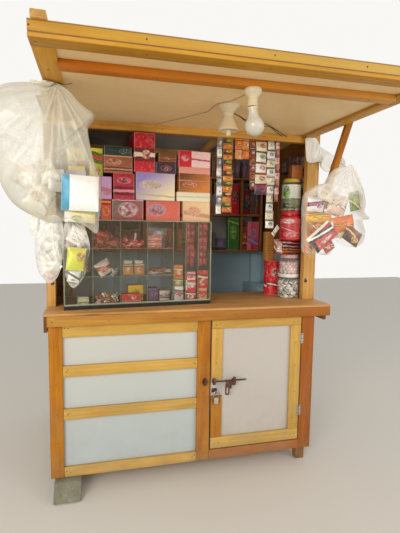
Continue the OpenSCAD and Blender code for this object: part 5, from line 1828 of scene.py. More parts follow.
    def slots(self, g: Goods) -> None:
        """Fills the narrow bays with tall packs, and sachets over two of them.

        Args:
            g: the case's goods.
        """
        rng = g.rng
        for k, stack in enumerate(self.STACKS):
            x, z = self.narrow_x + k * self.slot + 7, self.floor + 0.6
            for first, second, third, tall, wide, fading in stack:
                ink = Ink(first, second, third, (0.62, 0.16, 0.1), (0.5, 0.36, 0.34, 0.2),
                          (0.0, fading, 0.12))
                g.box((x + (66 - wide) / 2, 22, z), (wide, 60, tall), ink, rng.uniform(-0.03, 0.03))
                z += tall + 0.5
            for column in range(2 if k else 0):
                for j in range(int((self.height - 10 - z) / 44)):
                    ground = (tone(158, 26, 66), tone(176, 48, 84), tone(132, 30, 34))[int(rng.integers(3))]
                    spot = (x + 18 + 31 * column + rng.uniform(-2, 2), 34 + 10 * column,
                            self.height - 32 - 44 * j)
                    band = (rng.uniform(0.3, 0.7), 0.1, rng.uniform(-0.3, 0.3))
                    g.packet(spot, (29, 10, 47), Ink(ground, Hue.MAROON, Hue.TAN, band),
                             rng.uniform(-0.6, 0.6), 0.0, rng.uniform(-0.14, 0.14))

    def build(self) -> None:
        """Dresses the glass and the base and fills the case."""
        self.maker.dress(Finish.BASE_BLACK, "case_base")
        self.maker.dress(Finish.CASE_GLASS, "case_glass", "case_partitions")
        self.maker.make("glass_edges", self.edges(), "kiosk", "case_glass")
        goods = Goods(self.maker, 21, in_glass=True)
        self.bays(goods)
        self.slots(goods)
        goods.piece("case_stock", "carton")


@dataclass
class CounterJars:
    """Jars of sweets by the right post, packets between them, tin and pack."""

    maker: PieceMaker
    x: float = 1576.0
    y: float = 293.0
    basket_half: tuple[float, float] = (35.5, 28.5)

    # Heights over the counter: the jars' feet, the packets between them, the pack and the basket.
    FEET = (0.3, 168.6, 397.2, 599.5)
    PACKETS, PACK, BASKET = 300.9, 818.2, 250.6
    # The tin's profile as radius and height, in millimetres.
    TIN = ((0.1, 0), (57, 0), (59, 1.2), (59, 3), (57.8, 4.5), (57.8, 245.5), (59, 247), (59, 249),
           (57, 250), (54, 247.5), (0.1, 247.5))
    # A label's jar, radius, low and high edge, and print.
    LABELS = (
        (2, 72, 112, 150, Ink(tone(206, 60, 70), tone(220, 120, 124), Hue.WHITE, (0.5, 0.02, 0.0),
                              (0.4, 0.55, 0.3, 0.42))),
        (2, 72, 14, 108, Ink(tone(190, 30, 44), tone(222, 100, 104), tone(230, 160, 160), (0.6, 0.12, 0.5),
                             (0.5, 0.3, 0.3, 0.2), (0.0, 0.5, 0.0))),
        (3, 66, 74, 178, Ink(tone(240, 242, 232), tone(64, 80, 44), tone(96, 186, 40), (0.05, 0.05, 0.0),
                             (0.24, 0.5, 0.2, 0.42), (0.0, -0.35, 0.0))),
        (3, 66, 20, 72, Ink(tone(46, 52, 34), tone(200, 196, 170), tone(120, 130, 90), (0.7, 0.1, 0.3),
                            (0.5, 0.3, 0.3, 0.16), (0.0, 0.4, 0.0))),
    )

    def jar(self, foot: float, radius: float, tall: float, wall: Finish, lid: Finish) -> list[Surface]:
        """Works out a jar's wall with its rings, and its ribbed lid.

        Args:
            foot: height of its foot over the counter, in millimetres.
            radius: radius of its wall.
            tall: its height.
            wall: finish of the wall.
            lid: finish of the lid.

        Returns:
            The wall and the lid.
        """
        r, h = radius, tall
        body = [(0.1, 1), (r - 9, 1), (r - 3, 3), (r, 10), (r, h * 0.3), (r - 1.2, h * 0.32),
                (r - 1.2, h * 0.34), (r, h * 0.36), (r, h - 46), (r - 3, h - 38), (r - 14, h - 30),
                (r - 14, h - 24), (0.1, h - 24)]
        cap = [(0.1, h - 24), (r - 8, h - 24), (r - 8, h - 3), (r - 10, h - 0.3), (r - 20, h - 0.3),
               (r - 22, h - 1.6), (0.1, h - 1.6)]
        spot = at([self.x, self.y, COUNTER_Z + foot])
        made = []
        for profile, finish, sides, ribs, rib in ((body, wall, 60, 0, 0.0), (cap, lid, 120, 60, 0.0006)):
            pts, faces, _ = lathe(np.array(profile) / 1000, sides, ribs, rib)
            made.append(Surface(pts + spot, faces, {}, finish))
        return made

    def label(self, foot: float, radius: float, low: float, high: float, ink: Ink) -> Surface:
        """Works out a paper label that goes round a jar, with its print three times.

        Args:
            foot: height of the jar's foot over the counter.
            radius: radius of the jar's wall.
            low: its lower edge over the jar's foot.
            high: its upper edge over the jar's foot.
            ink: its print.

        Returns:
            The label.
        """
        turn, up = np.meshgrid(np.linspace(0, 2 * math.pi, 61), np.linspace(low, high, 5))
        r = radius + 0.35
        pts = np.stack([r * np.sin(turn), -r * np.cos(turn), up], -1)
        face = np.stack([(turn * 3 / (2 * math.pi) + 0.717) % 1.0, (up - low) / (high - low),
                         np.zeros_like(up)], -1).reshape(-1, 3)
        spot = np.array([self.x, self.y, COUNTER_Z + foot])
        return Surface(at(pts.reshape(-1, 3) + spot), grid_faces(*up.shape), ink.values(face), Finish.CARD)

    def sweets(self, foot: float, radius: float, tall: float, colours: Sequence[Tone],
               rng: np.random.Generator, size: float) -> list[Surface]:
        """Packs wrapped sweets against a jar's wall, in rings from the bottom.

        Args:
            foot: height of the jar's foot over the counter.
            radius: radius that they reach.
            tall: height that they fill, with 40 mm of air.
            colours: their colours.
            rng: source of their turns and colours.
            size: size of a sweet.

        Returns:
            The sweets.
        """
        made = []
        around = max(6, int(2 * math.pi * (radius - size) / (size * 1.75)))
        for row in range(int((tall - 40) / (size * 1.25))):
            for k in range(around):
                a = 2 * math.pi * (k + 0.5 * (row % 2)) / around + rng.uniform(-0.05, 0.05)
                r = radius - size * 0.85 + rng.uniform(-2, 0)
                ink = Ink(colours[int(rng.integers(len(colours)))], colours[0], Hue.WHITE, (0.5, 0.16, 0.4),
                          (0.5, 0.5, 0.1, 0.1))
                pts, faces, face = pillow(size * 1.7 / 1000, size * 1.5 / 1000, size * 0.9 / 1000, 0.003, rng,
                                          7, 7)
                roll = rng.uniform(-0.9, 0.9)
                pts = turned(turned(pts, roll, "Y"), a + math.pi / 2 + rng.uniform(-0.3, 0.3), "Z")
                spot = at([self.x + r * math.cos(a), self.y + r * math.sin(a),
                           COUNTER_Z + foot + 10 + row * size * 1.25])
                made.append(Surface(pts + spot, faces, ink.values(face), Finish.FOIL))
        return made

    def tin(self, spot: Sequence[float]) -> Surface:
        """Works out the printed tin.

        Args:
            spot: the middle of its foot.

        Returns:
            The tin.
        """
        pts, faces, share = lathe(np.array(self.TIN) / 1000, 60)
        face = np.stack([(share[:, 0] * 3 + 0.25) % 1.0, share[:, 1], np.zeros(len(pts))], -1)
        ink = Ink(tone(206, 12, 28), tone(160, 8, 22), Hue.WHITE, (0.3, 0.05, 0.1), (0.5, 0.66, 0.24, 0.12))
        return Surface(pts + at(spot), faces, ink.values(face), Finish.CARD)

    def basket(self, middle: Sequence[float]) -> list[Surface]:
        """Weaves the basket on the tin: each strand is a squared oval that waves in and out.

        At angle a the oval reaches half its size times the square root of
        the cosine or of the sine, with that cosine's or sine's own sign.

        Args:
            middle: x and y of its middle.

        Returns:
            The strands from the bottom up.
        """
        a = np.linspace(0, 2 * math.pi, 40, endpoint=False)
        oval = [np.sign(wave) * np.abs(wave) ** 0.5 * half
                for wave, half in zip((np.cos(a), np.sin(a)), self.basket_half)]
        strands = []
        for k in range(17):
            weave = 1 + 0.03 * np.sin(20 * a + math.pi * (k % 2))
            height = np.full(40, COUNTER_Z + self.BASKET + 6 + 12 * k)
            route = np.stack([middle[0] + oval[0] * weave, middle[1] + oval[1] * weave, height], -1)
            strands.append(tube(at(np.concatenate([route, route[:1]])), 0.0058, 6, Finish.WICKER))
        return strands

    def build(self) -> None:
        """Builds the stack from the counter up, then the tin and its basket."""
        h = Hue
        rng = np.random.default_rng(8)
        first, second, third, fourth = self.FEET
        black = [h.WHITE, h.WHITE, tone(14, 18, 14), tone(20, 30, 22), h.WHITE, tone(40, 50, 34)]
        pink = [h.PALE_PINK, tone(230, 150, 170), h.WHITE, tone(214, 120, 150)]
        labels = [self.label(self.FEET[jar], *rest) for jar, *rest in self.LABELS]
        made = self.jar(first, 80, 168, Finish.JAR_CLEAR, Finish.LID_WHITE)
        made += self.sweets(first, 79, 172, black, rng, 19)
        made += self.jar(second, 72, 132, Finish.JAR_CLEAR, Finish.JAR_PINK)
        made += self.sweets(second, 71, 132, pink, rng, 15)
        made += self.jar(third, 72, 202, Finish.JAR_RED, Finish.LID_RED) + labels[:2]
        made += self.jar(fourth, 66, 218, Finish.JAR_CLEAR, Finish.LID_YELLOW)
        made += self.sweets(fourth, 65, 150, [h.BROWN, h.LEAF, h.DARK, h.CREAM], rng, 15) + labels[2:]
        goods = Goods(self.maker, 31)
        lying = ((h.ORANGE, tone(180, 70, 30), h.AMBER), (tone(206, 60, 40), h.DARK, h.CREAM),
                 (h.DARK, tone(200, 30, 40), h.WHITE), (tone(210, 26, 34), h.DARK, h.WHITE))
        z = COUNTER_Z + self.PACKETS
        for k, colours in enumerate(lying):
            ink = Ink(*colours, (0.45, 0.16, 0.5), (0.3, 0.6, 0.2, 0.3), (0.0, 0.7, 0.0))
            goods.packet((self.x - 2 + rng.uniform(-8, 4), self.y + 4, z + 14 + k * 23),
                         (200 - k * 12, 96, 26), ink, rng.uniform(-0.08, 0.08), rng.uniform(-0.06, 0.06))
        for k in range(3):
            goods.packet((self.x - 92, self.y - 30 + 22 * k, z + 40 + 12 * k), (38, 14, 76),
                         Ink(h.DARK_RED, h.CREAM, h.WHITE), rng.uniform(-0.4, 0.4))
        goods.box((self.x - 14, self.y - 30, COUNTER_Z + self.PACK), (78, 60, 91.7),
                  Ink(tone(186, 112, 56), tone(150, 84, 40), tone(200, 132, 70), (0.03, 0.03, 0.0),
                      (0.5, 0.5, 0.05, 0.05)))
        tin = (self.x - 73, self.y + 123, COUNTER_Z + 0.3)
        made += self.basket((tin[0] - 28, tin[1])) + goods.made + [self.tin(tin)]
        self.maker.make("jars_and_tin", made, "kiosk", "jar_plastic", Finish.CARD, ["jars"])


@dataclass
class HangingStrips:
    """Strips of sachets that hang from the header, each a chain of small pillows."""

    maker: PieceMaker
    top: float = 2091.4
    y: float = 187.0

    # A strip's left edge, width, length and pitch, and three colours for each kind of sachet in it.
    STRIPS = (
        (1003, 34, 476, 60, [(Hue.GREY, Hue.DARK, Hue.WHITE), (Hue.WHITE, Hue.GREY, Hue.WHITE)]),
        (1045, 62, 465, 34, [(Hue.DARK, Hue.AMBER, Hue.LEAF), (Hue.ORANGE, Hue.DARK, Hue.YELLOW),
                             (Hue.DARK, Hue.ORANGE, Hue.YELLOW), (Hue.AMBER, Hue.DARK, Hue.ORANGE)]),
        (1124, 44, 126, 62, [(Hue.ORANGE, Hue.RED, Hue.YELLOW), (Hue.AMBER, Hue.CREAM, Hue.RED)]),
        (1170, 46, 124, 62, [(Hue.AMBER, Hue.RED, Hue.CREAM), (Hue.ORANGE, Hue.RED, Hue.YELLOW)]),
        (1224, 36, 312, 52, [(Hue.BROWN, Hue.DARK_RED, Hue.AMBER), (Hue.DARK_RED, Hue.BROWN, Hue.CREAM)]),
        (1262, 80, 345, 66, [(Hue.CREAM, Hue.ORANGE, Hue.OLIVE), (Hue.WHITE, Hue.LEAF, Hue.OLIVE),
                             (Hue.WHITE, Hue.ORANGE, Hue.DARK), (Hue.CREAM, Hue.ORANGE, Hue.OLIVE),
                             (Hue.PURPLE, Hue.PINK, Hue.DARK)]),
        (1344, 53, 562, 56, [(Hue.CREAM, Hue.OLIVE, Hue.WHITE), (Hue.WHITE, Hue.GREY, Hue.TEAL)]),
        (1399, 31, 388, 48, [(Hue.PALE_PINK, Hue.BROWN, Hue.PINK), (Hue.BROWN, Hue.PALE_PINK, Hue.ORANGE)]),
    )

    def build(self) -> None:
        """Builds each strip sachet by sachet, with its own twist."""
        goods = Goods(self.maker, 41)
        for left, width, long, pitch, kinds in self.STRIPS:
            count = max(2, round(long / pitch))
            step = long / count
            for k in range(count):
                ink = Ink(*kinds[k % len(kinds)], (0.9, 0.1, 0.0), (0.6, 0.48, 0.3, 0.22))
                sway = 3.5 * math.sin(k * 0.8 + left) * (k / count)
                spot = (left + width / 2 + sway, self.y + 1.5 * math.sin(k * 1.3 + left),
                        self.top - step * (k + 0.5))
                goods.packet(spot, (width, 9, step * 1.02), ink, 0.25 * math.sin(k * 0.9 + left * 0.1), 0.0,
                             0.04 * math.sin(k * 1.1 + left))
        goods.packet((1420, self.y + 6, 1512), (34, 8, 78), Ink(Hue.CREAM, Hue.GREY, Hue.WHITE), 0.4, 0.0,
                     0.75)
        goods.piece("sachet_chains", "sachet_film", ["sachet_strips"])


@dataclass
class ShelfStock:
    """Packs and boxes in the pigeonholes and on the right wall's ledges."""

    maker: PieceMaker
    left: float = 78.0
    pitch: float = 272.4
    y: float = 930.0
    last_cell: tuple[float, float] = (1457.0, 154.0)

    # Foot of each row of pigeonholes and the greatest height of its packs.
    ROWS = ((1342.3, 262), (1638.3, 262), (1934.3, 180))
    HUES = (Hue.BROWN, Hue.DARK_RED, Hue.PURPLE, Hue.DARK, Hue.GREY, Hue.ORANGE, Hue.TEAL, Hue.LILAC,
            Hue.GREEN, Hue.RED)
    DIM = (tone(136, 120, 112), tone(112, 80, 66), tone(158, 144, 132), tone(128, 76, 66), tone(104, 88, 80))
    # Boxes seen in the lowest row: place from the cell's left and behind the front, size and print.
    SEEN = {
        4: (((150, 0), (92, 60, 268), Ink(tone(40, 104, 40), Hue.GREEN, Hue.LEAF, (0.85, 0.08, 0.1))),
            ((60, 70), (90, 60, 96), Ink(Hue.PURPLE, Hue.LILAC, Hue.GREY)),
            ((20, 10), (26, 60, 150), Ink(Hue.DARK, Hue.GREY, Hue.DARK))),
        5: (((48, 0), (98, 60, 236), Ink(tone(160, 30, 46), Hue.PINK, Hue.LILAC, (0.3, 0.12, 0.2),
                                         look=(0.0, 0.8, 0.3))),
            ((4, 12), (42, 60, 190), Ink(Hue.BROWN, Hue.DARK_RED, Hue.AMBER))),
    }

    def fill(self, goods: Goods, left: float, right: float, foot: float, limit: float, narrow: bool) -> None:
        """Fills a cell from its left side with upright packs.

        Args:
            goods: what they are added to.
            left: left side of the cell.
            right: right side of the cell.
            foot: height of its floor.
            limit: greatest height of a pack.
            narrow: whether nearly half of the packs are narrow.
        """
        rng = goods.rng
        run = left + 3
        while run < right - 24:
            wide = min(rng.uniform(22, 78), right - 4 - run)
            tall = rng.uniform(0.55, 1.0) * limit
            if narrow and rng.uniform() < 0.45:
                wide = min(wide, 34)
            ground, second, patch = (self.HUES[int(rng.integers(len(self.HUES)))] for _ in range(3))
            ground = ground if rng.uniform() < 0.4 else Hue.BROWN
            spot = (run, self.y + rng.uniform(0, 22), foot)
            ink = Ink(ground, second, patch, (rng.uniform(0.2, 0.8), 0.12, rng.uniform(-0.3, 0.3)))
            goods.box(spot, (wide - 1.5, 90, tall), ink)
            run += wide

    def build(self) -> None:
        """Fills each cell and the ledges."""
        goods = Goods(self.maker, 51)
        cells = [(self.left + 15 + c * self.pitch, self.pitch - 17) for c in range(5)] + [self.last_cell]
        for row, (foot, limit) in enumerate(self.ROWS):
            for c, (x, wide) in enumerate(cells):
                seen = self.SEEN.get(c, ()) if row == 0 else ()
                for (across, behind), size, ink in seen:
                    goods.box((x + across, self.y + behind, foot), size, ink)
                if not seen:
                    self.fill(goods, x, x + wide, foot, limit, row > 0)
        for z in LEDGES:
            for k in range(6):
                ink = Ink(*(self.DIM[(k + step) % 5] for step in (0, 2, 1)), (0.5, 0.1, 0.2))
                goods.box((1650, 240 + 62 * k, z + 12.4), (40, 58, goods.rng.uniform(62, 110)), ink)
        goods.piece("shelf_stock", "carton")


@dataclass
class Film:
    """One bag's film, worked out from its outline seen from the front.

    At angle a round the outline and share r from its middle to its rim, a
    skin lies at the middle plus r times the outline, and stands off the
    middle plane by deep times 1 - r*r to the power of its fullness. Long
    folds of the form 1 - |sin| run out from the knot and fade with the
    distance, creases run straight across it, and it swells and clears where
    a pack lies under it.

    The rim is x and z in millimetres, y the middle plane, deep half the depth
    at the middle, and knot the x and z that the folds run from. Milk is the
    milkiness of smooth film, folds their number, and reach how far they run.
    A swell is a pack's x, z, radius, rise and clearness. Around and rows are
    the points round the rim and from the middle to it. Full is 0.5 for an
    ellipsoid and less for squarer sides.
    """

    rim: Sequence[Sequence[float]]
    y: float
    deep: float
    knot: Sequence[float]
    seed: int
    milk: float
    folds: int
    reach: float
    swells: Sequence[Sequence[float]] = ()
    around: int = 220
    rows: int = 46
    full: float = 0.5

    def outline(self) -> np.ndarray:
        """Gives points at even steps along the smoothed rim.

        Returns:
            The points' x and z (around, 2).
        """
        loop = np.array([(x, 0.0, z) for x, z in self.rim], float)
        path = smooth_route(np.concatenate([loop[-2:], loop, loop[:2]]), 8)[16:-16]
        run = np.concatenate([[0], np.cumsum(np.linalg.norm(np.diff(path, axis=0), axis=1))])
        along = np.linspace(0, run[-1], self.around, endpoint=False)
        return np.stack([np.interp(along, run, path[:, 0]), np.interp(along, run, path[:, 2])], -1)

    def skin(self, side: int, ring: np.ndarray, flat: np.ndarray, share: np.ndarray,
             rng: np.random.Generator) -> tuple[np.ndarray, np.ndarray]:
        """Works out the front or the back skin.

        Args:
            side: -1 for the front and 1 for the back.
            ring: the rim's points.
            flat: x and z of every point.
            share: each row's share from the middle to the rim.
            rng: source of the folds and creases.

        Returns:
            How far each point stands off the middle plane, and its milkiness.
        """
        middle = ring.mean(0)
        edge = np.clip(1 - share ** 2, 0, 1) ** self.full
        dx, dz = flat[..., 0] - self.knot[0], flat[..., 1] - self.knot[1]
        far = np.hypot(dx, dz)
        fade = np.exp(-far / self.reach)
        angle = np.arctan2(dz, dx)
        phase = self.folds * angle
        for n in range(1, 6):
            strength, start, drift = rng.uniform(0.6, 2.2), rng.uniform(0, 6.28), rng.uniform(-1, 1)
            phase = phase + strength * np.sin(n * 2 * angle + start + drift * far / self.reach)
        ridge = (1 - np.abs(np.sin(phase * 0.5))) ** 3
        broad = 1 - np.abs(np.sin(phase * 0.17 + side))
        rise = (7.0 * ridge + 9.0 * broad ** 2) * (0.25 + fade) * min(1.0, self.deep / 40)
        cover = self.milk + (0.5 * ridge + 0.3 * broad ** 3) * (0.15 + fade)
        for _ in range(14):
            spot = ring[int(rng.integers(self.around))] * 0.55 + middle * 0.45
            turn, long, thick = rng.uniform(0, math.pi), rng.uniform(40, 130), rng.uniform(3.5, 7.0)
            x, z = flat[..., 0] - spot[0], flat[..., 1] - spot[1]
            along = x * math.cos(turn) + z * math.sin(turn)
            off = -x * math.sin(turn) + z * math.cos(turn)
            off = off - 0.0012 * along ** 2 * rng.uniform(-1, 1)
            crease = np.exp(-np.abs(off) / thick) * np.exp(-(along / long) ** 2)
            rise = rise + rng.uniform(2.5, 6.0) * crease
            cover = cover + 0.3 * crease
        for x, z, radius, lift, clear in self.swells:
            near = np.exp(-(((flat[..., 0] - x) / radius) ** 2 + ((flat[..., 1] - z) / radius) ** 2))
            rise = rise + lift * near
            cover = cover - clear * near
        # Painted sheen: near the rim, where the film turns edge-on to the front, it is milkier.
        cover = cover + 0.5 * share ** 14
        gather = np.clip(far / 170.0, 0.14, 1.0)
        return side * (self.deep * edge * gather + rise * edge), np.clip(cover, 0, 1)

    def surface(self, finish: Finish = Finish.FILM) -> Surface:
        """Works out both skins and joins them at the rim.

        Args:
            finish: its finish.

        Returns:
            The film's surface with its fold attribute.
        """
        rng = np.random.default_rng(self.seed)
        ring = self.outline()
        middle = ring.mean(0)
        share = np.sin(np.linspace(0.04, 1, self.rows) * math.pi / 2)[:, None]
        flat = middle + share[..., None] * (ring - middle)[None]
        points, milky = [], []
        for side in (-1, 1):
            off, cover = self.skin(side, ring, flat, share, rng)
            points.append(np.stack([flat[..., 0], self.y + off, flat[..., 1]], -1))
            milky.append(cover)
        pts = np.concatenate([points[0], points[1][::-1][1:]])
        fold = np.concatenate([milky[0], milky[1][::-1][1:]])
        return Surface(at(pts.reshape(-1, 3)), carried_faces(*fold.shape), {"fold": fold.reshape(-1)}, finish)


@dataclass
class Bags:
    """Film bags full of packets: two skins swollen off a middle plane, with knots."""

    maker: PieceMaker
    left_y: float = -480.0
    right_y: float = -225.0

    # Outlines of the films as x and z in millimetres, seen from the front.
    LEFT_BIG = (
        (62, 2119), (112, 2116), (152, 2092), (182, 2060), (214, 2030), (252, 2004), (250, 1984),
        (228, 1940), (244, 1837), (274, 1728), (282, 1640), (272, 1560), (262, 1494), (214, 1524),
        (150, 1546), (67, 1541), (-30, 1582), (-88, 1632), (-130, 1720), (-164, 1840), (-178, 1950),
        (-164, 2030), (-118, 2082), (-39, 2106))
    LEFT_LOBE = ((60, 1566), (104, 1566), (123, 1500), (118, 1400), (100, 1316), (62, 1276), (32, 1304),
                 (12, 1348), (4, 1443), (22, 1536))
    RIGHT_LOBE = ((133, 1566), (186, 1560), (214, 1513), (232, 1437), (222, 1373), (204, 1302), (162, 1254),
                  (134, 1286), (122, 1365), (118, 1500))
    LOW_TAIL = ((-8, 1588), (22, 1580), (26, 1540), (18, 1488), (-2, 1482), (-16, 1500), (-14, 1546))
    HIGH_TAIL = ((96, 2114), (66, 2121), (34, 2112), (6, 2118), (2, 2104), (40, 2096), (80, 2100))
    RIGHT_BULK = (
        (1690, 1900), (1716, 1872), (1746, 1812), (1765, 1740), (1779, 1683), (1772, 1632), (1812, 1591),
        (1764, 1580), (1783, 1520), (1782, 1470), (1760, 1436), (1718, 1424), (1659, 1437), (1616, 1470),
        (1584, 1428), (1548, 1380), (1491, 1388), (1414, 1392), (1400, 1470), (1398, 1561), (1396, 1661),
        (1406, 1720), (1442, 1760), (1494, 1780), (1534, 1792), (1560, 1840), (1600, 1878), (1650, 1882))
    DRAPE = (
        (1594, 2112), (1634, 2124), (1676, 2118), (1708, 2071), (1760, 2044), (1812, 2012), (1826, 1969),
        (1800, 1930), (1765, 1906), (1716, 1934), (1712, 1972), (1660, 1962), (1614, 1969), (1600, 2040))
    BRIDGE = ((1716, 1990), (1760, 1990), (1790, 1930), (1778, 1880), (1740, 1850), (1700, 1868),
              (1690, 1930))
    # Packs under the right film: x, z, radius, rise and clearness.
    RIGHT_SWELLS = (
        (1500, 1470, 110, 8, 1.1), (1694, 1478, 84, 8, 1.1), (1480, 1592, 90, 8, 0.8),
        (1635, 1560, 90, 8, 0.9), (1452, 1664, 60, 6, 0.6), (1703, 1690, 60, 4, 0.5))
    # Packets that show through the right bag: x, z, size, print, and turn in their own plane.
    RIGHT_PACKETS = (
        (1448, 1664, (96, 34, 80), Ink(Hue.WHITE, tone(50, 60, 140), tone(206, 60, 60), (0.55, 0.14, -0.2),
                                       (0.7, 0.4, 0.2, 0.16)), 0.05),
        (1478, 1592, (158, 36, 60), Ink(Hue.HONEY, tone(190, 110, 20), Hue.YELLOW, (0.7, 0.12, 0.0),
                                        (0.4, 0.4, 0.3, 0.2)), 0.03),
        (1642, 1560, (132, 38, 90), Ink(Hue.CARROT, tone(200, 90, 20), Hue.HONEY, (0.4, 0.1, 0.3),
                                        (0.5, 0.5, 0.24, 0.2)), -0.2),
        (1500, 1486, (172, 40, 104), Ink(Hue.SCARLET, Hue.DARK, Hue.WHITE, (0.68, 0.17, 0.35),
                                         (0.46, 0.26, 0.3, 0.1), (0.12, 0.35, 0.12)), -0.72),
        (1698, 1490, (124, 40, 88), Ink(tone(70, 40, 28), tone(190, 90, 60), tone(226, 200, 120),
                                        (0.5, 0.12, 0.4), (0.6, 0.3, 0.2, 0.2)), 0.5),
        (1432, 1448, (58, 28, 104), Ink(Hue.CARROT, tone(190, 80, 20), Hue.CREAM, (0.2, 0.08, 0.3)), 0.1),
        (1540, 1428, (66, 28, 56), Ink(tone(190, 60, 30), Hue.DARK, Hue.CREAM, (0.5, 0.12, 0.5)), -0.6),
        (1702, 1690, (74, 34, 110), Ink(tone(96, 150, 50), tone(150, 100, 60), tone(190, 200, 120),
                                        (0.3, 0.2, 0.6)), -0.25),
        (1600, 1668, (110, 40, 110), Ink(tone(226, 200, 180), tone(190, 140, 110), Hue.WHITE,
                                         (0.5, 0.1, 0.3)), 0.2),
        (1520, 1716, (84, 28, 70), Ink(tone(226, 214, 180), Hue.CREAM, Hue.WHITE, (0.5, 0.08, 0.2)), 0.3),
    )
    RIGHT_MIXES = ((Hue.WHITE, Hue.CREAM, Hue.CARROT), (Hue.CARROT, Hue.HONEY, Hue.WHITE),
                   (Hue.CREAM, Hue.WHITE, Hue.SCARLET), (Hue.WHITE, Hue.LEAF, Hue.YELLOW))

    def knot(self, spot: Sequence[float], radius: float, finish: Finish = Finish.FILM) -> Surface:
        """Works out a knot: a tube along a trefoil whose three loops cross over.

        At angle a the trefoil lies at sin a + 2 sin 2a, cos a - 2 cos 2a and
        -sin 3a, scaled to the knot's size.

        Args:
            spot: its middle.
            radius: its radius in millimetres.
            finish: its finish.

        Returns:
            The knot.
        """
        a = np.linspace(0, 2 * math.pi, 70)
        path = np.stack([np.sin(a) + 2 * np.sin(2 * a), np.cos(a) - 2 * np.cos(2 * a), -np.sin(3 * a)], -1)
        path = path * radius / 3.4 * np.array([1, 0.8, 1.1]) + np.asarray(spot)
        made = tube(at(path), radius * 0.33 / 1000, 9, finish)
        made.values["fold"] = np.full(len(made.points), 0.8)
        return made

    def left(self) -> None:
        """Builds the group of bags on the flap's left edge, with its hook."""
        y, shade = self.left_y, Finish.FILM_SHADE
        big = Film(self.LEFT_BIG, y, 96, (104, 2112), 3, 0.36, 27, 300,
                   ((194, 1664, 92, 14, 1.4), (22, 1640, 60, 8, 0.1), (-60, 1900, 120, 6, 0.14)),
                   300, 60, 0.3)
        lobes = (Film(self.LEFT_LOBE, y - 4, 44, (78, 1560), 7, 0.2, 22, 120, ((78, 1430, 50, 6, 0.18),),
                      160, 40),
                 Film(self.RIGHT_LOBE, y + 4, 44, (150, 1560), 9, 0.16, 22, 120,
                      ((172, 1364, 70, 6, 1.2), (180, 1500, 40, 4, 0.1)), 160, 40))
        knots = [self.knot((108, y, 2107), 13, shade), self.knot((84, y - 4, 1560), 10),
                 self.knot((148, y + 4, 1560), 10)]
        tails = [Film(self.LOW_TAIL, y - 8, 9, (4, 1588), 12, 0.45, 12, 90, (), 90, 18).surface(),
                 Film(self.HIGH_TAIL, y - 18, 4, (98, 2106), 14, 0.6, 22, 90, (), 90, 18).surface(shade)]
        made = [big.surface(shade), *(lobe.surface() for lobe in lobes), *knots, *tails]
        self.maker.make("bags_on_left", made, "kiosk", "bag_film", Finish.FILM, ["bag_left"], smooth=3.0)
        wire = at([[100, y - 4, 2121], [120, y - 6, 2117], [142, y - 10, 2115], [166, y - 16, 2119]])
        self.maker.make("bag_hook", [tube(smooth_route(wire), 0.0016, 8)], "kiosk", "rusty_steel",
                        Finish.RUSTY)

    def left_packets(self) -> None:
        """Fills the left group: packets that show one by one, and plain ones behind them."""
        # white is brighter than the other packs' white: painted light on the packets that wear it.
        h, y, white = Hue, self.left_y, tone(250, 250, 246)
        goods = Goods(self.maker, 61)
        rng, packet = goods.rng, goods.packet
        packet((194, y - 54, 1664), (152, 40, 150),
               Ink(white, tone(0, 146, 184), tone(20, 160, 190), (-1.0, 0.01, 0.0), (-1.0, -1.0, 0.01, 0.01),
                   (0.0, 0.0, 0.21)), 0.1, -0.04, 0.03)
        packet((192, y - 34, 1572), (128, 34, 62),
               Ink(h.WHITE, h.YELLOW, h.LEAF, (0.8, 0.16, 0.1), (0.4, 0.3, 0.2, 0.2), (0.0, 0.9, 0.0)),
               0.1, 0.1, 0.05)
        packet((26, y - 18, 1640), (104, 40, 112),
               Ink(h.WHITE, h.CREAM, tone(226, 214, 180), (0.5, 0.04, 0.5), (0.4, 0.5, 0.3, 0.2)),
               0.3, -0.1, 0.5)
        for k in range(4):
            spot = (-40 + 44 * k + rng.uniform(-10, 10), y + 22, 1700 + rng.uniform(-20, 60))
            ink = Ink(h.WHITE, (h.CREAM, tone(190, 200, 206))[k % 2], h.WHITE, (0.5, 0.05, 0.2))
            packet(spot, (84, 30, 100), ink, rng.uniform(-0.6, 0.6), rng.uniform(-0.4, 0.4),
                   rng.uniform(-1.2, 1.2))
        # White packets in the lobes, brighter than the rest: painted sunlight inside the film.
        for k in range(5):
            spot = (76 + rng.uniform(-8, 8), y - 8 + rng.uniform(-12, 12), 1352 + 40 * k)
            packet(spot, (62, 28, 60), Ink(white, h.WHITE, h.CREAM), rng.uniform(-0.6, 0.6), 0.2,
                   rng.uniform(-1.2, 1.2))
        packet((60, y - 6, 1312), (44, 18, 34), Ink(h.PALE_PINK, tone(206, 120, 100), h.WHITE), 0.2, 0.1, 0.4)
        packet((172, y - 8, 1382), (78, 30, 100),
               Ink(tone(206, 214, 30), tone(206, 92, 40), tone(110, 70, 60), (-1.0, 0.01, 0.0),
                   (0.72, 0.62, 0.24, 0.2), (0.0, 0.25, 0.0)), 0.2, 0.0, 0.12)
        packet((162, y + 2, 1306), (52, 20, 54),
               Ink(h.WHITE, h.DARK, h.DARK, (0.5, 0.09, 0.4), (0.5, 0.2, 0.3, 0.06)), 0.1, 0.0, 0.2)
        packet((174, y - 4, 1484), (66, 24, 70), Ink(h.WHITE, h.CREAM, h.WHITE), 0.2, 0.0, 0.5)
        goods.piece("packets_on_left", "sachet_film")

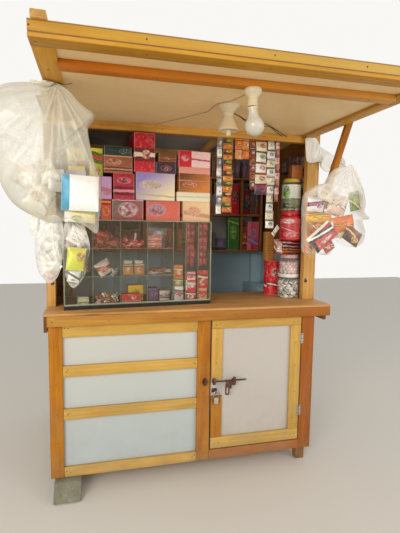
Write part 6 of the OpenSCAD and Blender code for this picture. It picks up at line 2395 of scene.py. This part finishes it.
    def right(self) -> None:
        """Builds the bag on the right prop and the film on the post over it."""
        films = (Film(self.RIGHT_BULK, self.right_y, 78, (1688, 1896), 13, 0.4, 27, 200, self.RIGHT_SWELLS,
                      300, 56, 0.3),
                 Film(self.DRAPE, 158, 9, (1640, 2120), 6, 0.86, 24, 200, (), 160, 24),
                 Film(self.BRIDGE, -8, 60, (1730, 1990), 8, 0.6, 18, 140, (), 120, 22))
        bulk, drape, bridge = (film.surface() for film in films)
        made = [bulk, self.knot((1684, -150, 1912), 12), drape, bridge]
        self.maker.make("bag_on_right", made, "kiosk", "bag_film", Finish.FILM, ["bag_right"], smooth=3.0)

    def right_packets(self) -> None:
        """Fills the right bag: packets that show one by one, and mixed ones behind them."""
        goods = Goods(self.maker, 71)
        rng = goods.rng
        for k, (x, z, size, ink, roll) in enumerate(self.RIGHT_PACKETS):
            goods.packet((x, self.right_y - 40 + (k % 3) * 12, z), size, ink, rng.uniform(-0.15, 0.15),
                         rng.uniform(-0.12, 0.12), roll)
        for k in range(14):
            height = 1500 + 200 * rng.uniform(0, 1)
            spot = (1596 + rng.uniform(-116, 106), self.right_y + rng.uniform(-4, 40), height)
            band = (rng.uniform(0.3, 0.7), 0.1, rng.uniform(-0.6, 0.6))
            goods.packet(spot, (70, 26, 84), Ink(*self.RIGHT_MIXES[k % 4], band), rng.uniform(-0.7, 0.7),
                         rng.uniform(-0.4, 0.4), rng.uniform(-1.4, 1.4))
        goods.piece("packets_on_right", "sachet_film")

    def build(self) -> None:
        """Builds both groups with their packets."""
        for step in (self.left, self.left_packets, self.right, self.right_packets):
            step()


@dataclass
class Studio:
    """The camera at the photograph's view, plain lights, floor and backdrop."""

    yaw: float = 14.37
    pitch: float = -5.42
    roll: float = 0.85
    stand: tuple[float, float, float] = (-0.5545, -2.5235, 1.530)
    focus: float = 417.49
    photo_high: float = 533.0
    sensor: float = 36.0
    floor_half: float = 9.0

    # Name, place, aim, size, power and colour of each lamp.
    LAMPS = (
        ("key", (-3.0, -4.8, 2.7), (0.0, 0.0, 1.1), 2.6, 170.0, (1.0, 0.95, 0.87)),
        ("fill", (3.6, -3.8, 2.2), (0.0, 0.0, 1.2), 3.0, 70.0, (1.0, 0.98, 0.96)),
        ("inside", (0.1, 0.3, 1.94), (0.15, 0.9, 1.5), 0.26, 1.2, (1.0, 0.98, 0.94)),
    )

    def link(self, name: str, data: bpy.types.ID) -> bpy.types.Object:
        """Puts a camera, a lamp or a mesh into the scene.

        Args:
            name: the object's name.
            data: what it holds.

        Returns:
            The object.
        """
        made = bpy.data.objects.new(name, data)
        bpy.context.scene.collection.objects.link(made)
        return made

    def camera(self) -> None:
        """Sets the camera from its yaw, pitch and roll in degrees."""
        yaw, pitch, roll = (math.radians(v) for v in (self.yaw, self.pitch, self.roll))
        ahead = Vector((math.sin(yaw) * math.cos(pitch), math.cos(yaw) * math.cos(pitch), math.sin(pitch)))
        level = Vector((math.cos(yaw), -math.sin(yaw), 0))
        upward = level.cross(ahead)
        right = math.cos(roll) * level + math.sin(roll) * upward
        up = -math.sin(roll) * level + math.cos(roll) * upward
        data = bpy.data.cameras.new("view")
        data.sensor_fit, data.sensor_width = "AUTO", self.sensor
        data.lens = self.focus * self.sensor / self.photo_high
        view = self.link("view", data)
        rows = [(right[k], up[k], -ahead[k], self.stand[k]) for k in range(3)]
        view.matrix_world = Matrix((*rows, (0, 0, 0, 1)))
        bpy.context.scene.camera = view

    def world(self) -> None:
        """Lights the world, brighter where the camera, gloss or glass looks at it."""
        world = bpy.data.worlds.new("studio")
        bpy.context.scene.world = world
        world.use_nodes = True
        tree = world.node_tree
        ground = tree.nodes["Background"]
        ground.inputs[0].default_value = (1.0, 0.985, 0.96, 1.0)
        rays = tree.nodes.new("ShaderNodeLightPath").outputs
        seen = rays["Is Camera Ray"]
        for kind in ("Is Glossy Ray", "Is Transmission Ray"):
            most = tree.nodes.new("ShaderNodeMath")
            most.operation = "MAXIMUM"
            tree.links.new(seen, most.inputs[0])
            tree.links.new(rays[kind], most.inputs[1])
            seen = most.outputs[0]
        span = tree.nodes.new("ShaderNodeMapRange")
        tree.links.new(seen, span.inputs[0])
        span.inputs[3].default_value, span.inputs[4].default_value = 0.62, 0.95
        tree.links.new(span.outputs[0], ground.inputs[1])

    def floor(self) -> None:
        """Lays the pale floor."""
        half = self.floor_half
        mesh = bpy.data.meshes.new("floor")
        mesh.from_pydata([[-half, -half, 0], [half, -half, 0], [half, half, 0], [-half, half, 0]], [],
                         [[0, 1, 2, 3]])
        mesh.materials.append(Finish.STUDIO_FLOOR.material())
        self.link("floor", mesh)

    def build(self) -> None:
        """Builds the world, the lamps, the floor and the camera."""
        self.world()
        for name, spot, aim, size, power, colour in self.LAMPS:
            data = bpy.data.lights.new(name, "AREA")
            data.size, data.energy, data.color = size, power, colour
            lamp = self.link(name, data)
            lamp.location = spot
            lamp.rotation_euler = (Vector(aim) - Vector(spot)).to_track_quat("-Z", "Y").to_euler()
        self.floor()
        self.camera()
        bpy.context.scene.view_settings.view_transform = "Standard"


def main() -> None:
    """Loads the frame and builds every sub-assembly in order."""
    logging.basicConfig(level=logging.INFO, format="%(name)s %(message)s")
    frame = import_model()
    maker = PieceMaker(frame)
    Studio().build()
    for part in (Lamps, Timberwork, Sheets, DoorFittings, CartonStack, GlassCase, CounterJars, HangingStrips,
                 ShelfStock, Bags):
        part(maker).build()
    bpy.context.view_layer.update()
    LOG.info("%d pieces and dressed nodes", maker.count)


if __name__ == "__main__":
    main()
